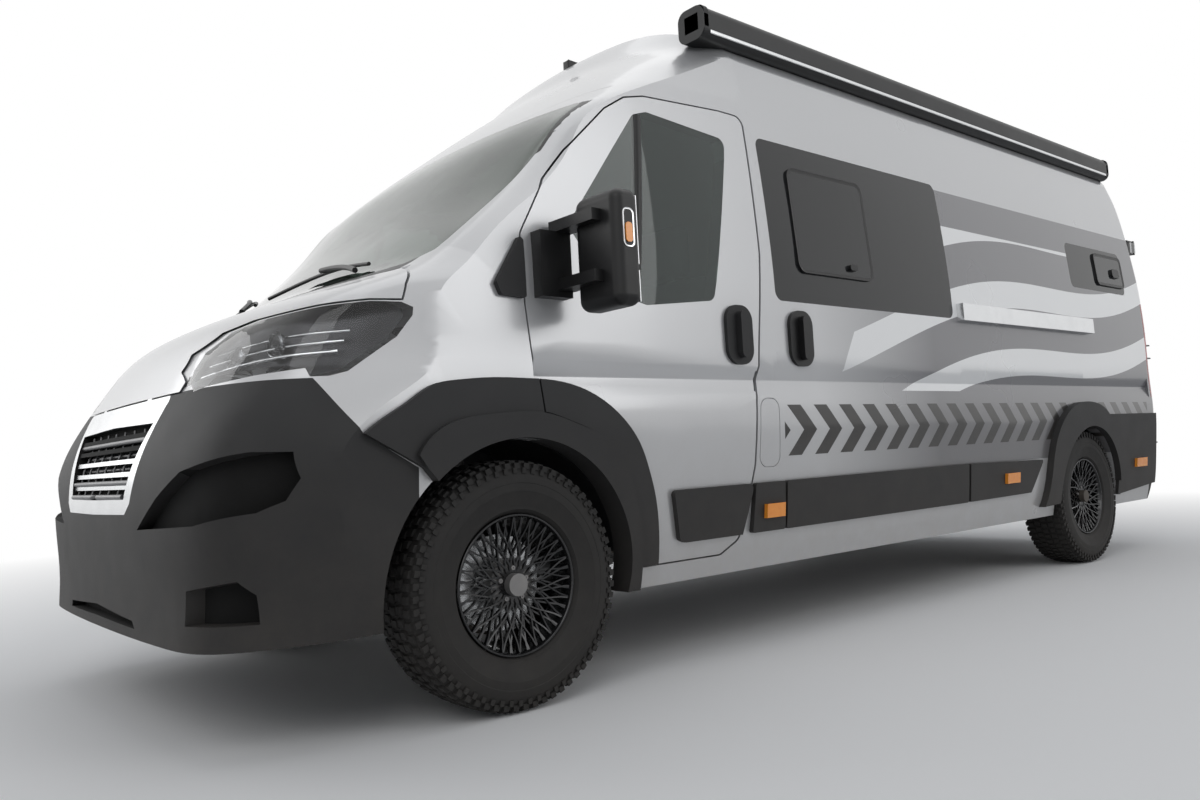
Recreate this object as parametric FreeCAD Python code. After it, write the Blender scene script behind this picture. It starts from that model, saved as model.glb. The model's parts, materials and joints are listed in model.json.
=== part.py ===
import FreeCAD, Part
import math
import os
import time
from FreeCAD import Vector

T0 = time.time()
# Camper van in millimetres, +Z up.
# It faces -Y, its own left side is +X, and the origin is on the ground below its middle.

# Overall sizes
LENGTH = 6050.0
WIDTH = 2068.0
ROOF_HEIGHT = 2580.0
WHEELBASE = 4035.0
FRONT_OVERHANG = 948.0
FRONT_TRACK = 1810.0
REAR_TRACK = 1790.0

# Walls, gaps and clearances
SHELL_WALL = 60.0
GLASS_WALL = 8.0
POCKET_DEPTH = 40.0
PANEL_GAP = 6.0
SWING_GAP = 4.0
HEM_SETBACK = 8.0
LEAF_GAP = 10.0
SEAT_FIT = 0.3
RUNNING_GAP = 6.0
OVERRUN = 400.0

# Wheels
TYRE_RADIUS = 380.0
TYRE_WIDTH = 236.0
TYRE_SHOULDER = 34.0
RIM_RADIUS = 216.0
RIM_FLANGE = 232.0
RIM_WIDTH = 190.0
RIM_WALL = 12.0
SPOKE_COUNT = 10
SPOKE_WIDTH = 26.0
SPOKE_DEPTH = 30.0
HUB_RADIUS = 78.0
HUB_DEPTH = 44.0
SPINDLE_RADIUS = 34.0
FRONT_ARCH_RADIUS = 445.0
REAR_ARCH_RADIUS = 402.0
FRONT_ARCH_DEPTH = 470.0
REAR_ARCH_DEPTH = 360.0
BAND_PROUD = 20.0
LIP_PROUD = 36.0
LINER_WALL = 8.0

# Steering
KINGPIN_LOW_X = 845.0
KINGPIN_LOW_Z = 230.0
KINGPIN_HIGH_X = 600.0
KINGPIN_HIGH_Z = 960.0
STRUT_RADIUS = 27.0
BALL_RADIUS = 22.0

# Floor and frame
FLOOR_TOP = 560.0
FLOOR_WALL = 50.0
RAIL_WIDTH = 80.0
RAIL_DEPTH = 140.0
RAIL_PLACE = 470.0
SKIRT = 300.0

# Rear door hinges
REAR_HINGE_X = 964.0
REAR_HINGE_BACK = 18.0
HINGE_PIN = 6.0
HINGE_BARREL = 11.0
HINGE_TALL = 70.0
HINGE_FIT = 0.3
HINGE_HEIGHTS = (700.0, 1250.0, 1950.0)

# Groove along the waist, its depth and heights
GROOVE_DEPTH = 20.0
GROOVE_LOW = 948.0
GROOVE_FLOOR = 1012.0
GROOVE_ROOF = 1020.0
GROOVE_HIGH = 1071.0
GROOVE_START = 1020.0
GROOVE_END = 5930.0

# Door handles
HANDLE_X = 1040.0
GRIP_X = 1066.0
HANDLE_ROUND = 60.0
GRIP_ROUND = 20.0

# Cab, engine and living space
BULKHEAD_SETBACK = 930.0
COWL_HEIGHT = 1340.0
COWL_HALF = 875.0
GRILLE_DEPTH = 220.0
LAMP_PLACE = 520.0
INTAKE_DEPTH = 420.0
SLAT_COUNT = 5
SLAT_TALL = 14.0
REAR_POST = 14.0
PILLAR_WIDTH = 45.0
DRIVER_X = 480.0
STEERING_SETBACK = 1500.0
STEERING_HEIGHT = 1190.0
STEERING_RADIUS = 195.0
STEERING_GRIP = 15.0
DASH_DEPTH = 380.0
DASH_LOW = 860.0
DASH_TOP = 1240.0
DASH_HALF = 880.0
SEAT_SETBACK = 1690.0
SEAT_WIDTH = 500.0
SEAT_DEPTH = 520.0
SEAT_HEIGHT = 830.0
SEAT_THICK = 120.0
SEAT_BACK = 640.0
UNIT_DEPTH = 480.0
KITCHEN_SETBACK = 3000.0
KITCHEN_LONG = 1100.0
KITCHEN_TALL = 880.0
BED_SETBACK = 4350.0
BED_LONG = 1450.0
BED_TALL = 620.0
BED_THICK = 160.0
JACK_PAD = 80.0
JACK_PAD_TALL = 20.0
JACK_SETBACK = 2950.0
TOW_SETBACK = 5600.0
TOW_SPACING = 150.0
TOW_HOLE_RADIUS = 6.5
TOW_HOLE_DEPTH = 60.0
ENGINE_HALF = 300.0
ENGINE_SETBACK = 260.0
ENGINE_LONG = 560.0
ENGINE_LOW = 380.0
ENGINE_TALL = 520.0
TANK_SETBACK = 2300.0
TANK_LONG = 900.0
TANK_TALL = 200.0
EXHAUST_RADIUS = 50.0
VENT_SETBACK = 3100.0
VENT_HALF = 250.0
VENT_PROUD = 60.0

# Mirrors, awning, lamps and rear windows
MIRROR_GAP = 76.0
MIRROR_REACH = 210.0
MIRROR_SETBACK = 1140.0
MIRROR_DEPTH = 100.0
MIRROR_LOW = 1205.0
MIRROR_TALL = 360.0
MIRROR_FOOT_SETBACK = 1042.0
MIRROR_FOOT_LONG = 120.0
MIRROR_FOOT_LOW = 1262.0
MIRROR_FOOT_TALL = 210.0
MIRROR_ARM = 36.0
AWNING_X = 790.0
AWNING_DEPTH = 140.0
AWNING_LOW = 2390.0
AWNING_TALL = 135.0
AWNING_SETBACK = 2010.0
AWNING_LONG = 3850.0
TAIL_LAMP_LOW = 950.0
TAIL_LAMP_HIGH = 1560.0
REAR_GLASS_NEAR = 150.0
REAR_GLASS_FAR = 650.0
REAR_GLASS_LOW = 1420.0
REAR_GLASS_HIGH = 1980.0
REAR_BUMPER_LOW = 360.0

NOSE = -LENGTH / 2
TAIL = LENGTH / 2
HALF = WIDTH / 2
FRONT_AXLE = NOSE + FRONT_OVERHANG
REAR_AXLE = FRONT_AXLE + WHEELBASE

# Half width of the body side: height share of ROOF_HEIGHT, width share of HALF
SIDE_SHARES = [
    (0.1163, 0.9381), (0.1477, 0.9555), (0.2453, 0.9845), (0.3481, 1.0000), (0.4159, 0.9932),
    (0.5151, 0.9903), (0.6674, 0.9662), (0.8050, 0.9246), (0.9054, 0.8810),
]
# Setback of the front on the centre line: height share of ROOF_HEIGHT, share of LENGTH
FRONT_SHARES = [
    (0.1163, 0.0033), (0.1744, 0.0000), (0.2326, 0.0000), (0.2907, 0.0021), (0.3488, 0.0093),
    (0.3876, 0.0179), (0.4264, 0.0251), (0.4651, 0.0372), (0.5000, 0.0661), (0.5233, 0.0909),
    (0.5814, 0.1286), (0.6589, 0.1651), (0.7364, 0.1955), (0.8140, 0.2339), (0.8915, 0.2793),
    (0.9496, 0.3114), (1.0078, 0.3582),
]
# Place of the rear face: height share of ROOF_HEIGHT, share of LENGTH from the nose
REAR_SHARES = [
    (0.1163, 0.9917), (0.1550, 0.9977), (0.2326, 0.9997), (0.3488, 1.0000), (0.5039, 1.0000),
    (0.6469, 0.9992), (0.7473, 0.9942), (0.8399, 0.9881), (0.8802, 0.9826), (0.9089, 0.9752),
    (0.9496, 0.9636), (1.0233, 0.9339),
]
# How the front sweeps back towards the side, at shares of the half width
SWEEP_WIDTH_SHARES = (0.35, 0.62, 0.82, 0.93, 0.985, 1.0)
SWEEP_SHARES = [
    (0.1163, (0.0007, 0.0023, 0.0066, 0.0250, 0.0557, 0.0694)),
    (0.1744, (0.0013, 0.0045, 0.0112, 0.0296, 0.0567, 0.0686)),
    (0.2326, (0.0012, 0.0036, 0.0091, 0.0248, 0.0496, 0.0612)),
    (0.2907, (0.0010, 0.0033, 0.0083, 0.0228, 0.0460, 0.0565)),
    (0.3488, (0.0010, 0.0036, 0.0109, 0.0296, 0.0557, 0.0669)),
    (0.3876, (0.0013, 0.0048, 0.0157, 0.0398, 0.0719, 0.0856)),
    (0.4264, (0.0023, 0.0083, 0.0202, 0.0448, 0.0769, 0.0914)),
    (0.4651, (0.0031, 0.0099, 0.0193, 0.0382, 0.0651, 0.0769)),
    (0.5000, (0.0030, 0.0096, 0.0188, 0.0317, 0.0469, 0.0531)),
    (0.5233, (0.0028, 0.0086, 0.0157, 0.0241, 0.0336, 0.0374)),
    (0.5814, (0.0021, 0.0068, 0.0122, 0.0160, 0.0198, 0.0223)),
    (0.6589, (0.0018, 0.0060, 0.0107, 0.0155, 0.0202, 0.0220)),
    (0.7364, (0.0015, 0.0050, 0.0088, 0.0127, 0.0165, 0.0180)),
    (0.8140, (0.0021, 0.0069, 0.0129, 0.0218, 0.0331, 0.0379)),
    (0.8915, (0.0033, 0.0106, 0.0205, 0.0383, 0.0628, 0.0736)),
    (0.9496, (0.0041, 0.0131, 0.0260, 0.0504, 0.0843, 0.0992)),
    (1.0078, (0.0041, 0.0131, 0.0276, 0.0560, 0.0937, 0.1098)),
]
# Roof crown across the van: width share of HALF, height share of ROOF_HEIGHT
CROWN_SHARES = [(0.8511, 0.9248), (0.7737, 0.9496), (0.5319, 0.9826), (0.0, 1.0)]

# Side outlines: share of LENGTH from the nose, height share of ROOF_HEIGHT
CAB_DOOR_SHARES = [
    (0.1742, 0.2291), (0.1740, 0.3202), (0.1706, 0.3876), (0.1663, 0.4833), (0.1658, 0.5674),
    (0.1851, 0.6434), (0.2018, 0.6876), (0.2354, 0.7601), (0.2522, 0.7845), (0.2689, 0.7946),
    (0.3360, 0.8054), (0.3577, 0.8050), (0.3557, 0.5872), (0.3448, 0.3911), (0.3410, 0.3663),
    (0.3375, 0.2690), (0.3342, 0.2407), (0.3230, 0.1640), (0.3074, 0.1457), (0.2322, 0.1457),
]
SLIDING_DOOR_SHARES = [
    (0.3656, 0.1477), (0.3656, 0.9058), (0.5964, 0.9058), (0.5964, 0.1477),
]
DOOR_GLASS_SHARES = [
    (0.1977, 0.5872), (0.2354, 0.6996), (0.2572, 0.7628), (0.2689, 0.7721), (0.3370, 0.7601),
    (0.3342, 0.7279), (0.3127, 0.5353), (0.3091, 0.5074), (0.2522, 0.4922), (0.2236, 0.5074),
]
SLIDING_WINDOW_SHARES = [
    (0.3686, 0.5174), (0.3686, 0.7787), (0.5914, 0.7787), (0.5914, 0.5174),
]
REAR_WINDOW_SHARES = [
    (0.8212, 0.6202), (0.8212, 0.7244), (0.9491, 0.7244), (0.9491, 0.6202),
]
RAIL_SHARES = [
    (0.5977, 0.5136), (0.5977, 0.5461), (0.8443, 0.5461), (0.8443, 0.5136),
]
LAMP_SHARES = [
    (0.0215, 0.3868), (0.0245, 0.3907), (0.0360, 0.3965), (0.0537, 0.4016), (0.0547, 0.3922),
    (0.0626, 0.3926), (0.0711, 0.3977), (0.0821, 0.4155), (0.0947, 0.4360), (0.1026, 0.4601),
    (0.1031, 0.4694), (0.0979, 0.4752), (0.0843, 0.4756), (0.0650, 0.4705), (0.0494, 0.4643),
    (0.0418, 0.4558), (0.0326, 0.4345), (0.0266, 0.4132), (0.0231, 0.3977),
]
BONNET_SHARES = [
    (-0.0496, 0.3899), (0.0202, 0.3899), (0.0231, 0.4012), (0.0256, 0.4155), (0.0314, 0.4372),
    (0.0410, 0.4585), (0.0489, 0.4674), (0.0645, 0.4736), (0.0840, 0.4787), (0.0982, 0.4791),
    (0.1012, 0.4973), (0.1079, 0.5217), (0.1256, 0.5504), (-0.0496, 0.5504),
]
FLARE_SHARES = [
    (0.0719, 0.3295), (0.0835, 0.3481), (0.0939, 0.3620), (0.1083, 0.3818), (0.1225, 0.3876),
    (0.1372, 0.3903), (0.1618, 0.3903), (0.1747, 0.3891), (0.1846, 0.3864), (0.2015, 0.3756),
    (0.2150, 0.3593), (0.2274, 0.3360), (0.2369, 0.3089), (0.2443, 0.2717), (0.2491, 0.2372),
    (0.2516, 0.2031), (0.2529, 0.1457),
]
FLARE_END_SHARES = [(0.2314, 0.1457), (0.1567, 0.1550), (0.1015, 0.2911)]
LIP_SHARES = [
    (0.0975, 0.3043), (0.1071, 0.3295), (0.1212, 0.3430), (0.1357, 0.3473), (0.1731, 0.3473),
    (0.1914, 0.3341), (0.2055, 0.3209), (0.2179, 0.2973), (0.2269, 0.2702), (0.2336, 0.2298),
    (0.2372, 0.1891), (0.2383, 0.1457),
]
LIP_END_SHARES = [(0.2383, 0.0969), (0.2149, 0.0969), (0.1567, 0.1473), (0.1028, 0.2876)]
REAR_FLARE_SHARES = [
    (0.7269, 0.1391), (0.7372, 0.2047), (0.7453, 0.2748), (0.7550, 0.3070), (0.7646, 0.3260),
    (0.7808, 0.3457), (0.7980, 0.3554), (0.8150, 0.3578), (0.8349, 0.3535), (0.8552, 0.3372),
    (0.8656, 0.3194), (0.8810, 0.2791), (0.8879, 0.2171), (0.8901, 0.1407),
]
REAR_FLARE_END_SHARES = [(0.8236, 0.1473)]
CLADDING_SHARES = [
    (0.8669, 0.3287), (0.9967, 0.3287), (0.9967, 0.1558), (0.9813, 0.1558), (0.8914, 0.1407),
    (0.8893, 0.2171), (0.8823, 0.2798),
]
SAIL_SHARES = [
    (0.1468, 0.5035), (0.1628, 0.5628), (0.1650, 0.5581), (0.1650, 0.4868), (0.1496, 0.4891),
]
FLAP_SHARES = [
    (0.3425, 0.2651), (0.3455, 0.3659), (0.3628, 0.3659), (0.3620, 0.2651),
]
HANDLE_SHARES = [
    (0.3167, 0.4159), (0.3167, 0.5031), (0.3407, 0.5031), (0.3407, 0.4159),
]
GRIP_SHARES = [
    (0.3253, 0.4256), (0.3253, 0.4942), (0.3326, 0.4942), (0.3326, 0.4256),
]
# How far back from the cab door's handle the sliding door's is
HANDLE_STEP_SHARE = 0.0617
# Front outlines: width share of HALF, height share of ROOF_HEIGHT
BONNET_PLAN_SHARES = [
    (0.0000, -0.0500), (1.0500, -0.0500), (1.0500, 0.1400), (0.8650, 0.1100), (0.8317, 0.1057),
    (0.5803, 0.0911), (0.0000, 0.0780),
]
SCREEN_SHARES = [
    (0.0000, 0.5186), (0.5803, 0.5240), (0.8124, 0.5318), (0.8752, 0.5473), (0.8878, 0.5822),
    (0.8994, 0.6845), (0.8849, 0.7694), (0.8511, 0.7767), (0.0000, 0.7837),
]
GRILLE_SHARES = [
    (0.0000, 0.2539), (0.3385, 0.2550), (0.3791, 0.2674), (0.4110, 0.3089), (0.4371, 0.3450),
    (0.4584, 0.3818), (0.4468, 0.3876), (0.0000, 0.3876),
]
GRILLE_OPENING_SHARES = [
    (0.0000, 0.2713), (0.3191, 0.2721), (0.3482, 0.3023), (0.3791, 0.3295), (0.4139, 0.3574),
    (0.0000, 0.3605),
]
REST_SHARES = [
    (0.2400, 0.3876), (0.2800, 0.3876), (0.2800, 0.3899), (0.2400, 0.3899),
]
INTAKE_SHARES = [
    (0.4545, 0.2388), (0.5909, 0.2729), (0.7224, 0.2996), (0.8288, 0.3078), (0.9236, 0.3155),
    (0.9574, 0.3140), (0.9652, 0.2868), (0.9526, 0.2651), (0.9304, 0.2547), (0.7969, 0.2442),
]
FOG_SHARES = [
    (0.7321, 0.1430), (0.7427, 0.1783), (0.8810, 0.1876), (0.8985, 0.1729), (0.8917, 0.1430),
]
SLOT_SHARES = [
    (0.0000, 0.1295), (0.3849, 0.1279), (0.3675, 0.1364), (0.0000, 0.1442),
]
RAIL_CROSS_SHARES = (0.30, 0.42, 0.55, 0.68, 0.95)
# Zones of the body, seen from the side
NOSE_ZONE_SHARES = [
    (-0.0496, 0.0488), (0.1706, 0.0488), (0.1706, 0.3876), (0.1663, 0.4845), (0.1248, 0.5554),
    (-0.0496, 0.5554),
]
BUMPER_ZONE_SHARES = [
    (-0.0496, 0.0488), (0.1013, 0.0488), (0.1003, 0.2911), (0.0727, 0.3295), (0.0557, 0.3907),
    (-0.0496, 0.3876),
]
REAR_BUMPER_ZONE_SHARES = [
    (0.9790, 0.0488), (0.9790, 0.2019), (1.0496, 0.2019), (1.0496, 0.0488),
]
SIDE_ZONE_SHARES = [
    (0.1706, 0.0488), (0.1706, 0.3876), (0.1663, 0.4845), (0.1248, 0.5554), (0.0496, 0.5554),
    (0.0496, 0.7837), (0.2198, 0.7837), (0.2370, 0.8031), (0.2689, 0.8233), (0.3613, 0.8341),
    (0.3613, 0.9093), (1.0496, 0.9093), (1.0496, 0.0488),
]
ROOF_ZONE_SHARES = [
    (-0.0496, 0.7837), (0.2198, 0.7837), (0.2370, 0.8031), (0.2689, 0.8233), (0.3613, 0.8341),
    (0.3613, 0.9093), (1.0496, 0.9093), (1.0496, 1.2016), (-0.0496, 1.2016),
]
REAR_DOOR_HEIGHT_SHARES = (0.2326, 0.3481, 0.4159, 0.5151, 0.6674, 0.8050, 0.8721)
# Rub strips on the body side
DOOR_STRIP_SHARES = [
    (0.2693, 0.1744), (0.2643, 0.2384), (0.2664, 0.2422), (0.3329, 0.2422), (0.3312, 0.1698),
    (0.2744, 0.1698),
]
STRIP_SHARES = [
    [(0.3334, 0.1698), (0.3357, 0.2422), (0.3641, 0.2422), (0.3650, 0.1698)],
    [(0.3666, 0.1698), (0.3666, 0.2422), (0.5954, 0.2426), (0.5960, 0.1705)],
    [(0.5993, 0.1709), (0.5982, 0.2426), (0.7255, 0.2380), (0.7031, 0.1729)],
]
MARKER_SHARES = [
    [(0.3436, 0.1899), (0.3436, 0.2105), (0.3613, 0.2105), (0.3613, 0.1899)],
    [(0.6547, 0.1973), (0.6547, 0.2174), (0.6765, 0.2174), (0.6765, 0.1973)],
    [(0.9286, 0.2004), (0.9286, 0.2213), (0.9549, 0.2213), (0.9549, 0.2004)],
]
# Planes that part the long walls into pieces
SIDE_BREAK_SHARES = (0.3615, 0.5970, 0.8237)
WALL_BREAK_SHARES = (0.5052, 0.8320)
ROOF_BREAK_SHARES = (0.3615, 0.6500)
MIRROR_ROUND_SHARE = 0.35
MIRROR_ARM_SHARES = (0.22, 0.74)
AWNING_ROUND_SHARE = 0.3
AXLE_NOTCH_SHARE = 2.4
SEAT_BASE_SHARE = 0.7
SEAT_REST_SHARE = 0.5
OUTLINE_ROUND = 40.0
REAR_CORNER = 85.0
SECTION_COUNT = 18
FORM_COLUMN_SHARES = (0.1, 0.35, 0.62, 0.82, 0.93, 1.0, 1.06)
FORM_SLOPE = 3.0


def value_at(table, place):
    """Smooth value between the rows of a table of (place, value)."""
    if place <= table[0][0]:
        return table[0][1]
    if place >= table[-1][0]:
        return table[-1][1]
    slopes = [(b[1] - a[1]) / (b[0] - a[0]) for a, b in zip(table, table[1:])]
    tangents = [slopes[0]]
    for before, after in zip(slopes, slopes[1:]):
        steady = before * after > 0
        tangents.append(2 * before * after / (before + after) if steady else 0.0)
    tangents.append(slopes[-1])
    row = max(i for i in range(len(slopes)) if table[i][0] <= place)
    span = table[row + 1][0] - table[row][0]
    t = (place - table[row][0]) / span
    start, end = table[row][1], table[row + 1][1]
    return (start * (1 + 2 * t) * (1 - t) ** 2 + span * tangents[row] * t * (1 - t) ** 2
            + end * t * t * (3 - 2 * t) + span * tangents[row + 1] * t * t * (t - 1))


def half_width(height):
    """Half width of the body side at a height."""
    return value_at(SIDE_SHARES, height / ROOF_HEIGHT) * HALF


def front_place(height):
    """Y of the front on the centre line at a height."""
    return NOSE + value_at(FRONT_SHARES, height / ROOF_HEIGHT) * LENGTH


def rear_place(height):
    """Y of the rear face at a height."""
    return NOSE + value_at(REAR_SHARES, height / ROOF_HEIGHT) * LENGTH


def sweep_places(height):
    """Setbacks of the front towards the side at a height."""
    columns = range(len(SWEEP_WIDTH_SHARES))
    tables = [[(row[0], row[1][i]) for row in SWEEP_SHARES] for i in columns]
    return [value_at(table, height / ROOF_HEIGHT) * LENGTH for table in tables]


def front_form(inset):
    """Long block whose front face has the van's nose, bonnet, windscreen and roof cap."""
    low, high = SKIRT - SHELL_WALL, ROOF_HEIGHT * FRONT_SHARES[-1][0]
    rows = []
    for i in range(SECTION_COUNT):
        height = low + (high - low) * i / (SECTION_COUNT - 1)
        half, nose = half_width(height) - inset, front_place(height) + inset
        sweeps = list(zip([0.0] + list(SWEEP_WIDTH_SHARES), [0.0] + sweep_places(height)))
        right = []
        for share in FORM_COLUMN_SHARES:
            reach = share * HALF
            past = max(reach - half, 0.0)
            y = nose + value_at(sweeps, reach / half) + past * FORM_SLOPE
            right.append(Vector(-reach, y, height))
        left = [Vector(-p.x, p.y, p.z) for p in right[::-1]]
        rows.append(left + right)
    face = Part.BSplineSurface()
    face.interpolate(rows)
    return face.toShape().extrude(Vector(0, LENGTH + 4 * OVERRUN, 0))


def tube_form(inset):
    """Long bar with the body's cross-section: flared sides, tumblehome and roof crown."""
    y = NOSE - OVERRUN
    side = [Vector(HALF * x - inset, y, ROOF_HEIGHT * z) for z, x in SIDE_SHARES]
    side[-1] = side[-1] - Vector(0, 0, inset)
    crown = [side[-1]] + [Vector(HALF * x - inset * x, y, ROOF_HEIGHT * z - inset) for x, z in CROWN_SHARES]
    crown += [Vector(-p.x, p.y, p.z) for p in crown[-2::-1]]
    other = [Vector(-p.x, p.y, p.z) for p in side[::-1]]
    edges = []
    for points in (side, crown, other):
        curve = Part.BSplineCurve()
        curve.interpolate(points)
        edges.append(curve.toShape())
    edges.append(Part.makeLine(other[-1], side[0]))
    return Part.Face(Part.Wire(edges)).extrude(Vector(0, LENGTH + 2 * OVERRUN, 0))


def rear_form(inset):
    """Block that ends in the rear face, which leans forward near the roof."""
    low, high, front = -OVERRUN, ROOF_HEIGHT + OVERRUN, NOSE - OVERRUN
    wide = HALF + OVERRUN
    first, last = REAR_SHARES[0][0] * ROOF_HEIGHT, REAR_SHARES[-1][0] * ROOF_HEIGHT
    heights = [first + (last - first) * i / (SECTION_COUNT - 1) for i in range(SECTION_COUNT)]
    profile = [Vector(-wide, rear_place(h) - inset, h) for h in heights]
    foot, top = Vector(-wide, profile[0].y, low), Vector(-wide, profile[-1].y - OVERRUN, high)
    curve = Part.BSplineCurve()
    curve.interpolate(profile)
    corners = [profile[-1], top, Vector(-wide, front, high), Vector(-wide, front, low), foot, profile[0]]
    edges = [curve.toShape()] + [Part.makeLine(c, d) for c, d in zip(corners, corners[1:])]
    return Part.Face(Part.Wire(edges)).extrude(Vector(2 * wide, 0, 0))


def rounded_rear(body, radius):
    """Round the two upright rear corners."""
    upright = []
    for edge in body.Edges:
        bounds = edge.BoundBox
        tall = bounds.ZLength > ROOF_HEIGHT / 2
        if tall and bounds.YMin > TAIL - OVERRUN and bounds.XLength < HALF:
            upright.append(edge)
    return body.makeFillet(radius, upright)


def envelope(inset):
    """Solid with the outer form of the body, drawn in by inset."""
    body = front_form(inset).common(tube_form(inset)).common(rear_form(inset))
    return rounded_rear(body, REAR_CORNER - inset) if inset < SHELL_WALL else body


def rounded_face(points, radius):
    """Flat face with rounded corners through a closed list of points."""
    count = len(points)
    starts, arcs = [], []
    for i, here in enumerate(points):
        before = points[i - 1] - here
        after = points[(i + 1) % count] - here
        turn = before.getAngle(after)
        reach = min(radius / math.tan(turn / 2), 0.45 * before.Length, 0.45 * after.Length)
        enter = here + before.normalize() * reach
        leave = here + after.normalize() * reach
        bisector = (before + after).normalize()
        size = reach * math.tan(turn / 2)
        middle = here + bisector * (size / math.sin(turn / 2) - size)
        starts.append((enter, leave))
        arcs.append(Part.Arc(enter, middle, leave).toShape())
    edges = []
    for i in range(count):
        edges.append(arcs[i])
        edges.append(Part.makeLine(starts[i][1], starts[(i + 1) % count][0]))
    return Part.Face(Part.Wire(edges))


def side_prism(shares, grow=0.0, side=1, radius=OUTLINE_ROUND):
    """Bar along X with a side outline, on one side of the van, grown all round."""
    points = [Vector(0, NOSE + y * LENGTH, z * ROOF_HEIGHT) for y, z in shares]
    face = rounded_face(points, radius)
    if grow:
        wire = face.OuterWire.makeOffset2D(grow)
        face = Part.Face(wire)
    return face.extrude(Vector(side * (HALF + OVERRUN), 0, 0))


def moved(shape, back):
    """Copy of a shape moved towards the rear."""
    copy = shape.copy()
    copy.translate(Vector(0, back, 0))
    return copy


def mirrored_x(shape):
    """Mirror image across the van's middle plane."""
    return shape.mirror(Vector(0, 0, 0), Vector(1, 0, 0))


def front_prism(shares, depth, grow=0.0, both=True):
    """Bar along Y with a front outline given for the left half."""
    points = [Vector(HALF * x, NOSE - OVERRUN, ROOF_HEIGHT * z) for x, z in shares]
    if both:
        points = points + [Vector(-p.x, p.y, p.z) for p in points[::-1] if p.x > 0]
    face = Part.Face(Part.makePolygon(points + points[:1]))
    if grow:
        face = Part.Face(face.OuterWire.makeOffset2D(grow))
    return face.extrude(Vector(0, OVERRUN + depth, 0))


def box(low, high):
    """Box between two corners."""
    size = [b - a for a, b in zip(low, high)]
    return Part.makeBox(size[0], size[1], size[2], Vector(*low))


def rod(start, end, radius):
    """Round bar between two points."""
    way = end - start
    return Part.makeCylinder(radius, way.Length, start, way)


def arch_depth(axle):
    """How far one axle's arches reach in from the side."""
    return FRONT_ARCH_DEPTH if axle == FRONT_AXLE else REAR_ARCH_DEPTH


def arch_cutter(axle, radius, side):
    """Cylinder that opens a wheel arch."""
    depth = arch_depth(axle)
    inner = Vector(side * (HALF - depth), axle, TYRE_RADIUS)
    return Part.makeCylinder(radius, depth + OVERRUN, inner, Vector(side, 0, 0))


def arch_cutters(grow=0.0):
    """All four wheel arches, grown by a clearance."""
    cutters = []
    for side in (1, -1):
        cutters.append(arch_cutter(FRONT_AXLE, FRONT_ARCH_RADIUS + grow, side))
        cutters.append(arch_cutter(REAR_AXLE, REAR_ARCH_RADIUS + grow, side))
    return cutters


def one_piece(shapes):
    """Join touching or overlapping solids."""
    first, rest = shapes[0], shapes[1:]
    return first.fuse(rest).removeSplitter() if rest else first


def save(name, solids):
    """Write one node."""
    shape = solids if isinstance(solids, Part.Shape) else Part.makeCompound(solids)
    kept = [s for s in shape.Solids if s.Volume > 1.0]
    shape = kept[0] if len(kept) == 1 else Part.makeCompound(kept)
    shape.exportStep(os.path.join("parts", name + ".step"))
    print(name, len(kept), "solids", round(shape.Volume / 1e6, 2), "litres", shape.isValid(), round(time.time() - T0, 1))


def tyre_solid(centre, side):
    """Tyre with a rounded shoulder and a straight tread."""
    half = TYRE_WIDTH / 2
    bead = RIM_RADIUS + SEAT_FIT
    points = [(-half + TYRE_SHOULDER, bead), (-half, RIM_FLANGE + TYRE_SHOULDER),
              (-half, TYRE_RADIUS - 2 * TYRE_SHOULDER), (-half + TYRE_SHOULDER, TYRE_RADIUS),
              (half - TYRE_SHOULDER, TYRE_RADIUS), (half, TYRE_RADIUS - 2 * TYRE_SHOULDER),
              (half, RIM_FLANGE + TYRE_SHOULDER), (half - TYRE_SHOULDER, bead)]
    outline = [centre + Vector(x, 0, z) for x, z in points]
    face = Part.Face(Part.makePolygon(outline + outline[:1]))
    return face.revolve(centre, Vector(1, 0, 0), 360)


def rim_solid(centre, side):
    """Wheel rim: a barrel, a hub and straight spokes on the outer side."""
    half = RIM_WIDTH / 2
    outer_x = side * half
    barrel = Part.makeCylinder(RIM_RADIUS, RIM_WIDTH, centre - Vector(half, 0, 0), Vector(1, 0, 0))
    inside = Part.makeCylinder(RIM_RADIUS - RIM_WALL, RIM_WIDTH, centre - Vector(half, 0, 0),
                               Vector(1, 0, 0))
    barrel = barrel.cut(inside)
    face_x = outer_x - side * SPOKE_DEPTH
    start = centre + Vector(face_x, 0, 0)
    hub = Part.makeCylinder(HUB_RADIUS, SPOKE_DEPTH, start, Vector(side, 0, 0))
    pieces = [barrel, hub]
    reach = RIM_RADIUS - RIM_WALL / 2
    low = Vector(min(face_x, outer_x), -SPOKE_WIDTH / 2, 0)
    for i in range(SPOKE_COUNT):
        spoke = Part.makeBox(SPOKE_DEPTH, SPOKE_WIDTH, reach, centre + low)
        spoke.rotate(centre, Vector(1, 0, 0), 360 * i / SPOKE_COUNT)
        pieces.append(spoke)
    solid = one_piece(pieces)
    bore = Part.makeCylinder(SPINDLE_RADIUS + SEAT_FIT, RIM_WIDTH + OVERRUN,
                             centre - Vector((RIM_WIDTH + OVERRUN) / 2, 0, 0), Vector(1, 0, 0))
    return solid.cut(bore)


def wheel_centre(axle, track, side):
    """Centre of one wheel."""
    return Vector(side * track / 2, axle, TYRE_RADIUS)


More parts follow.
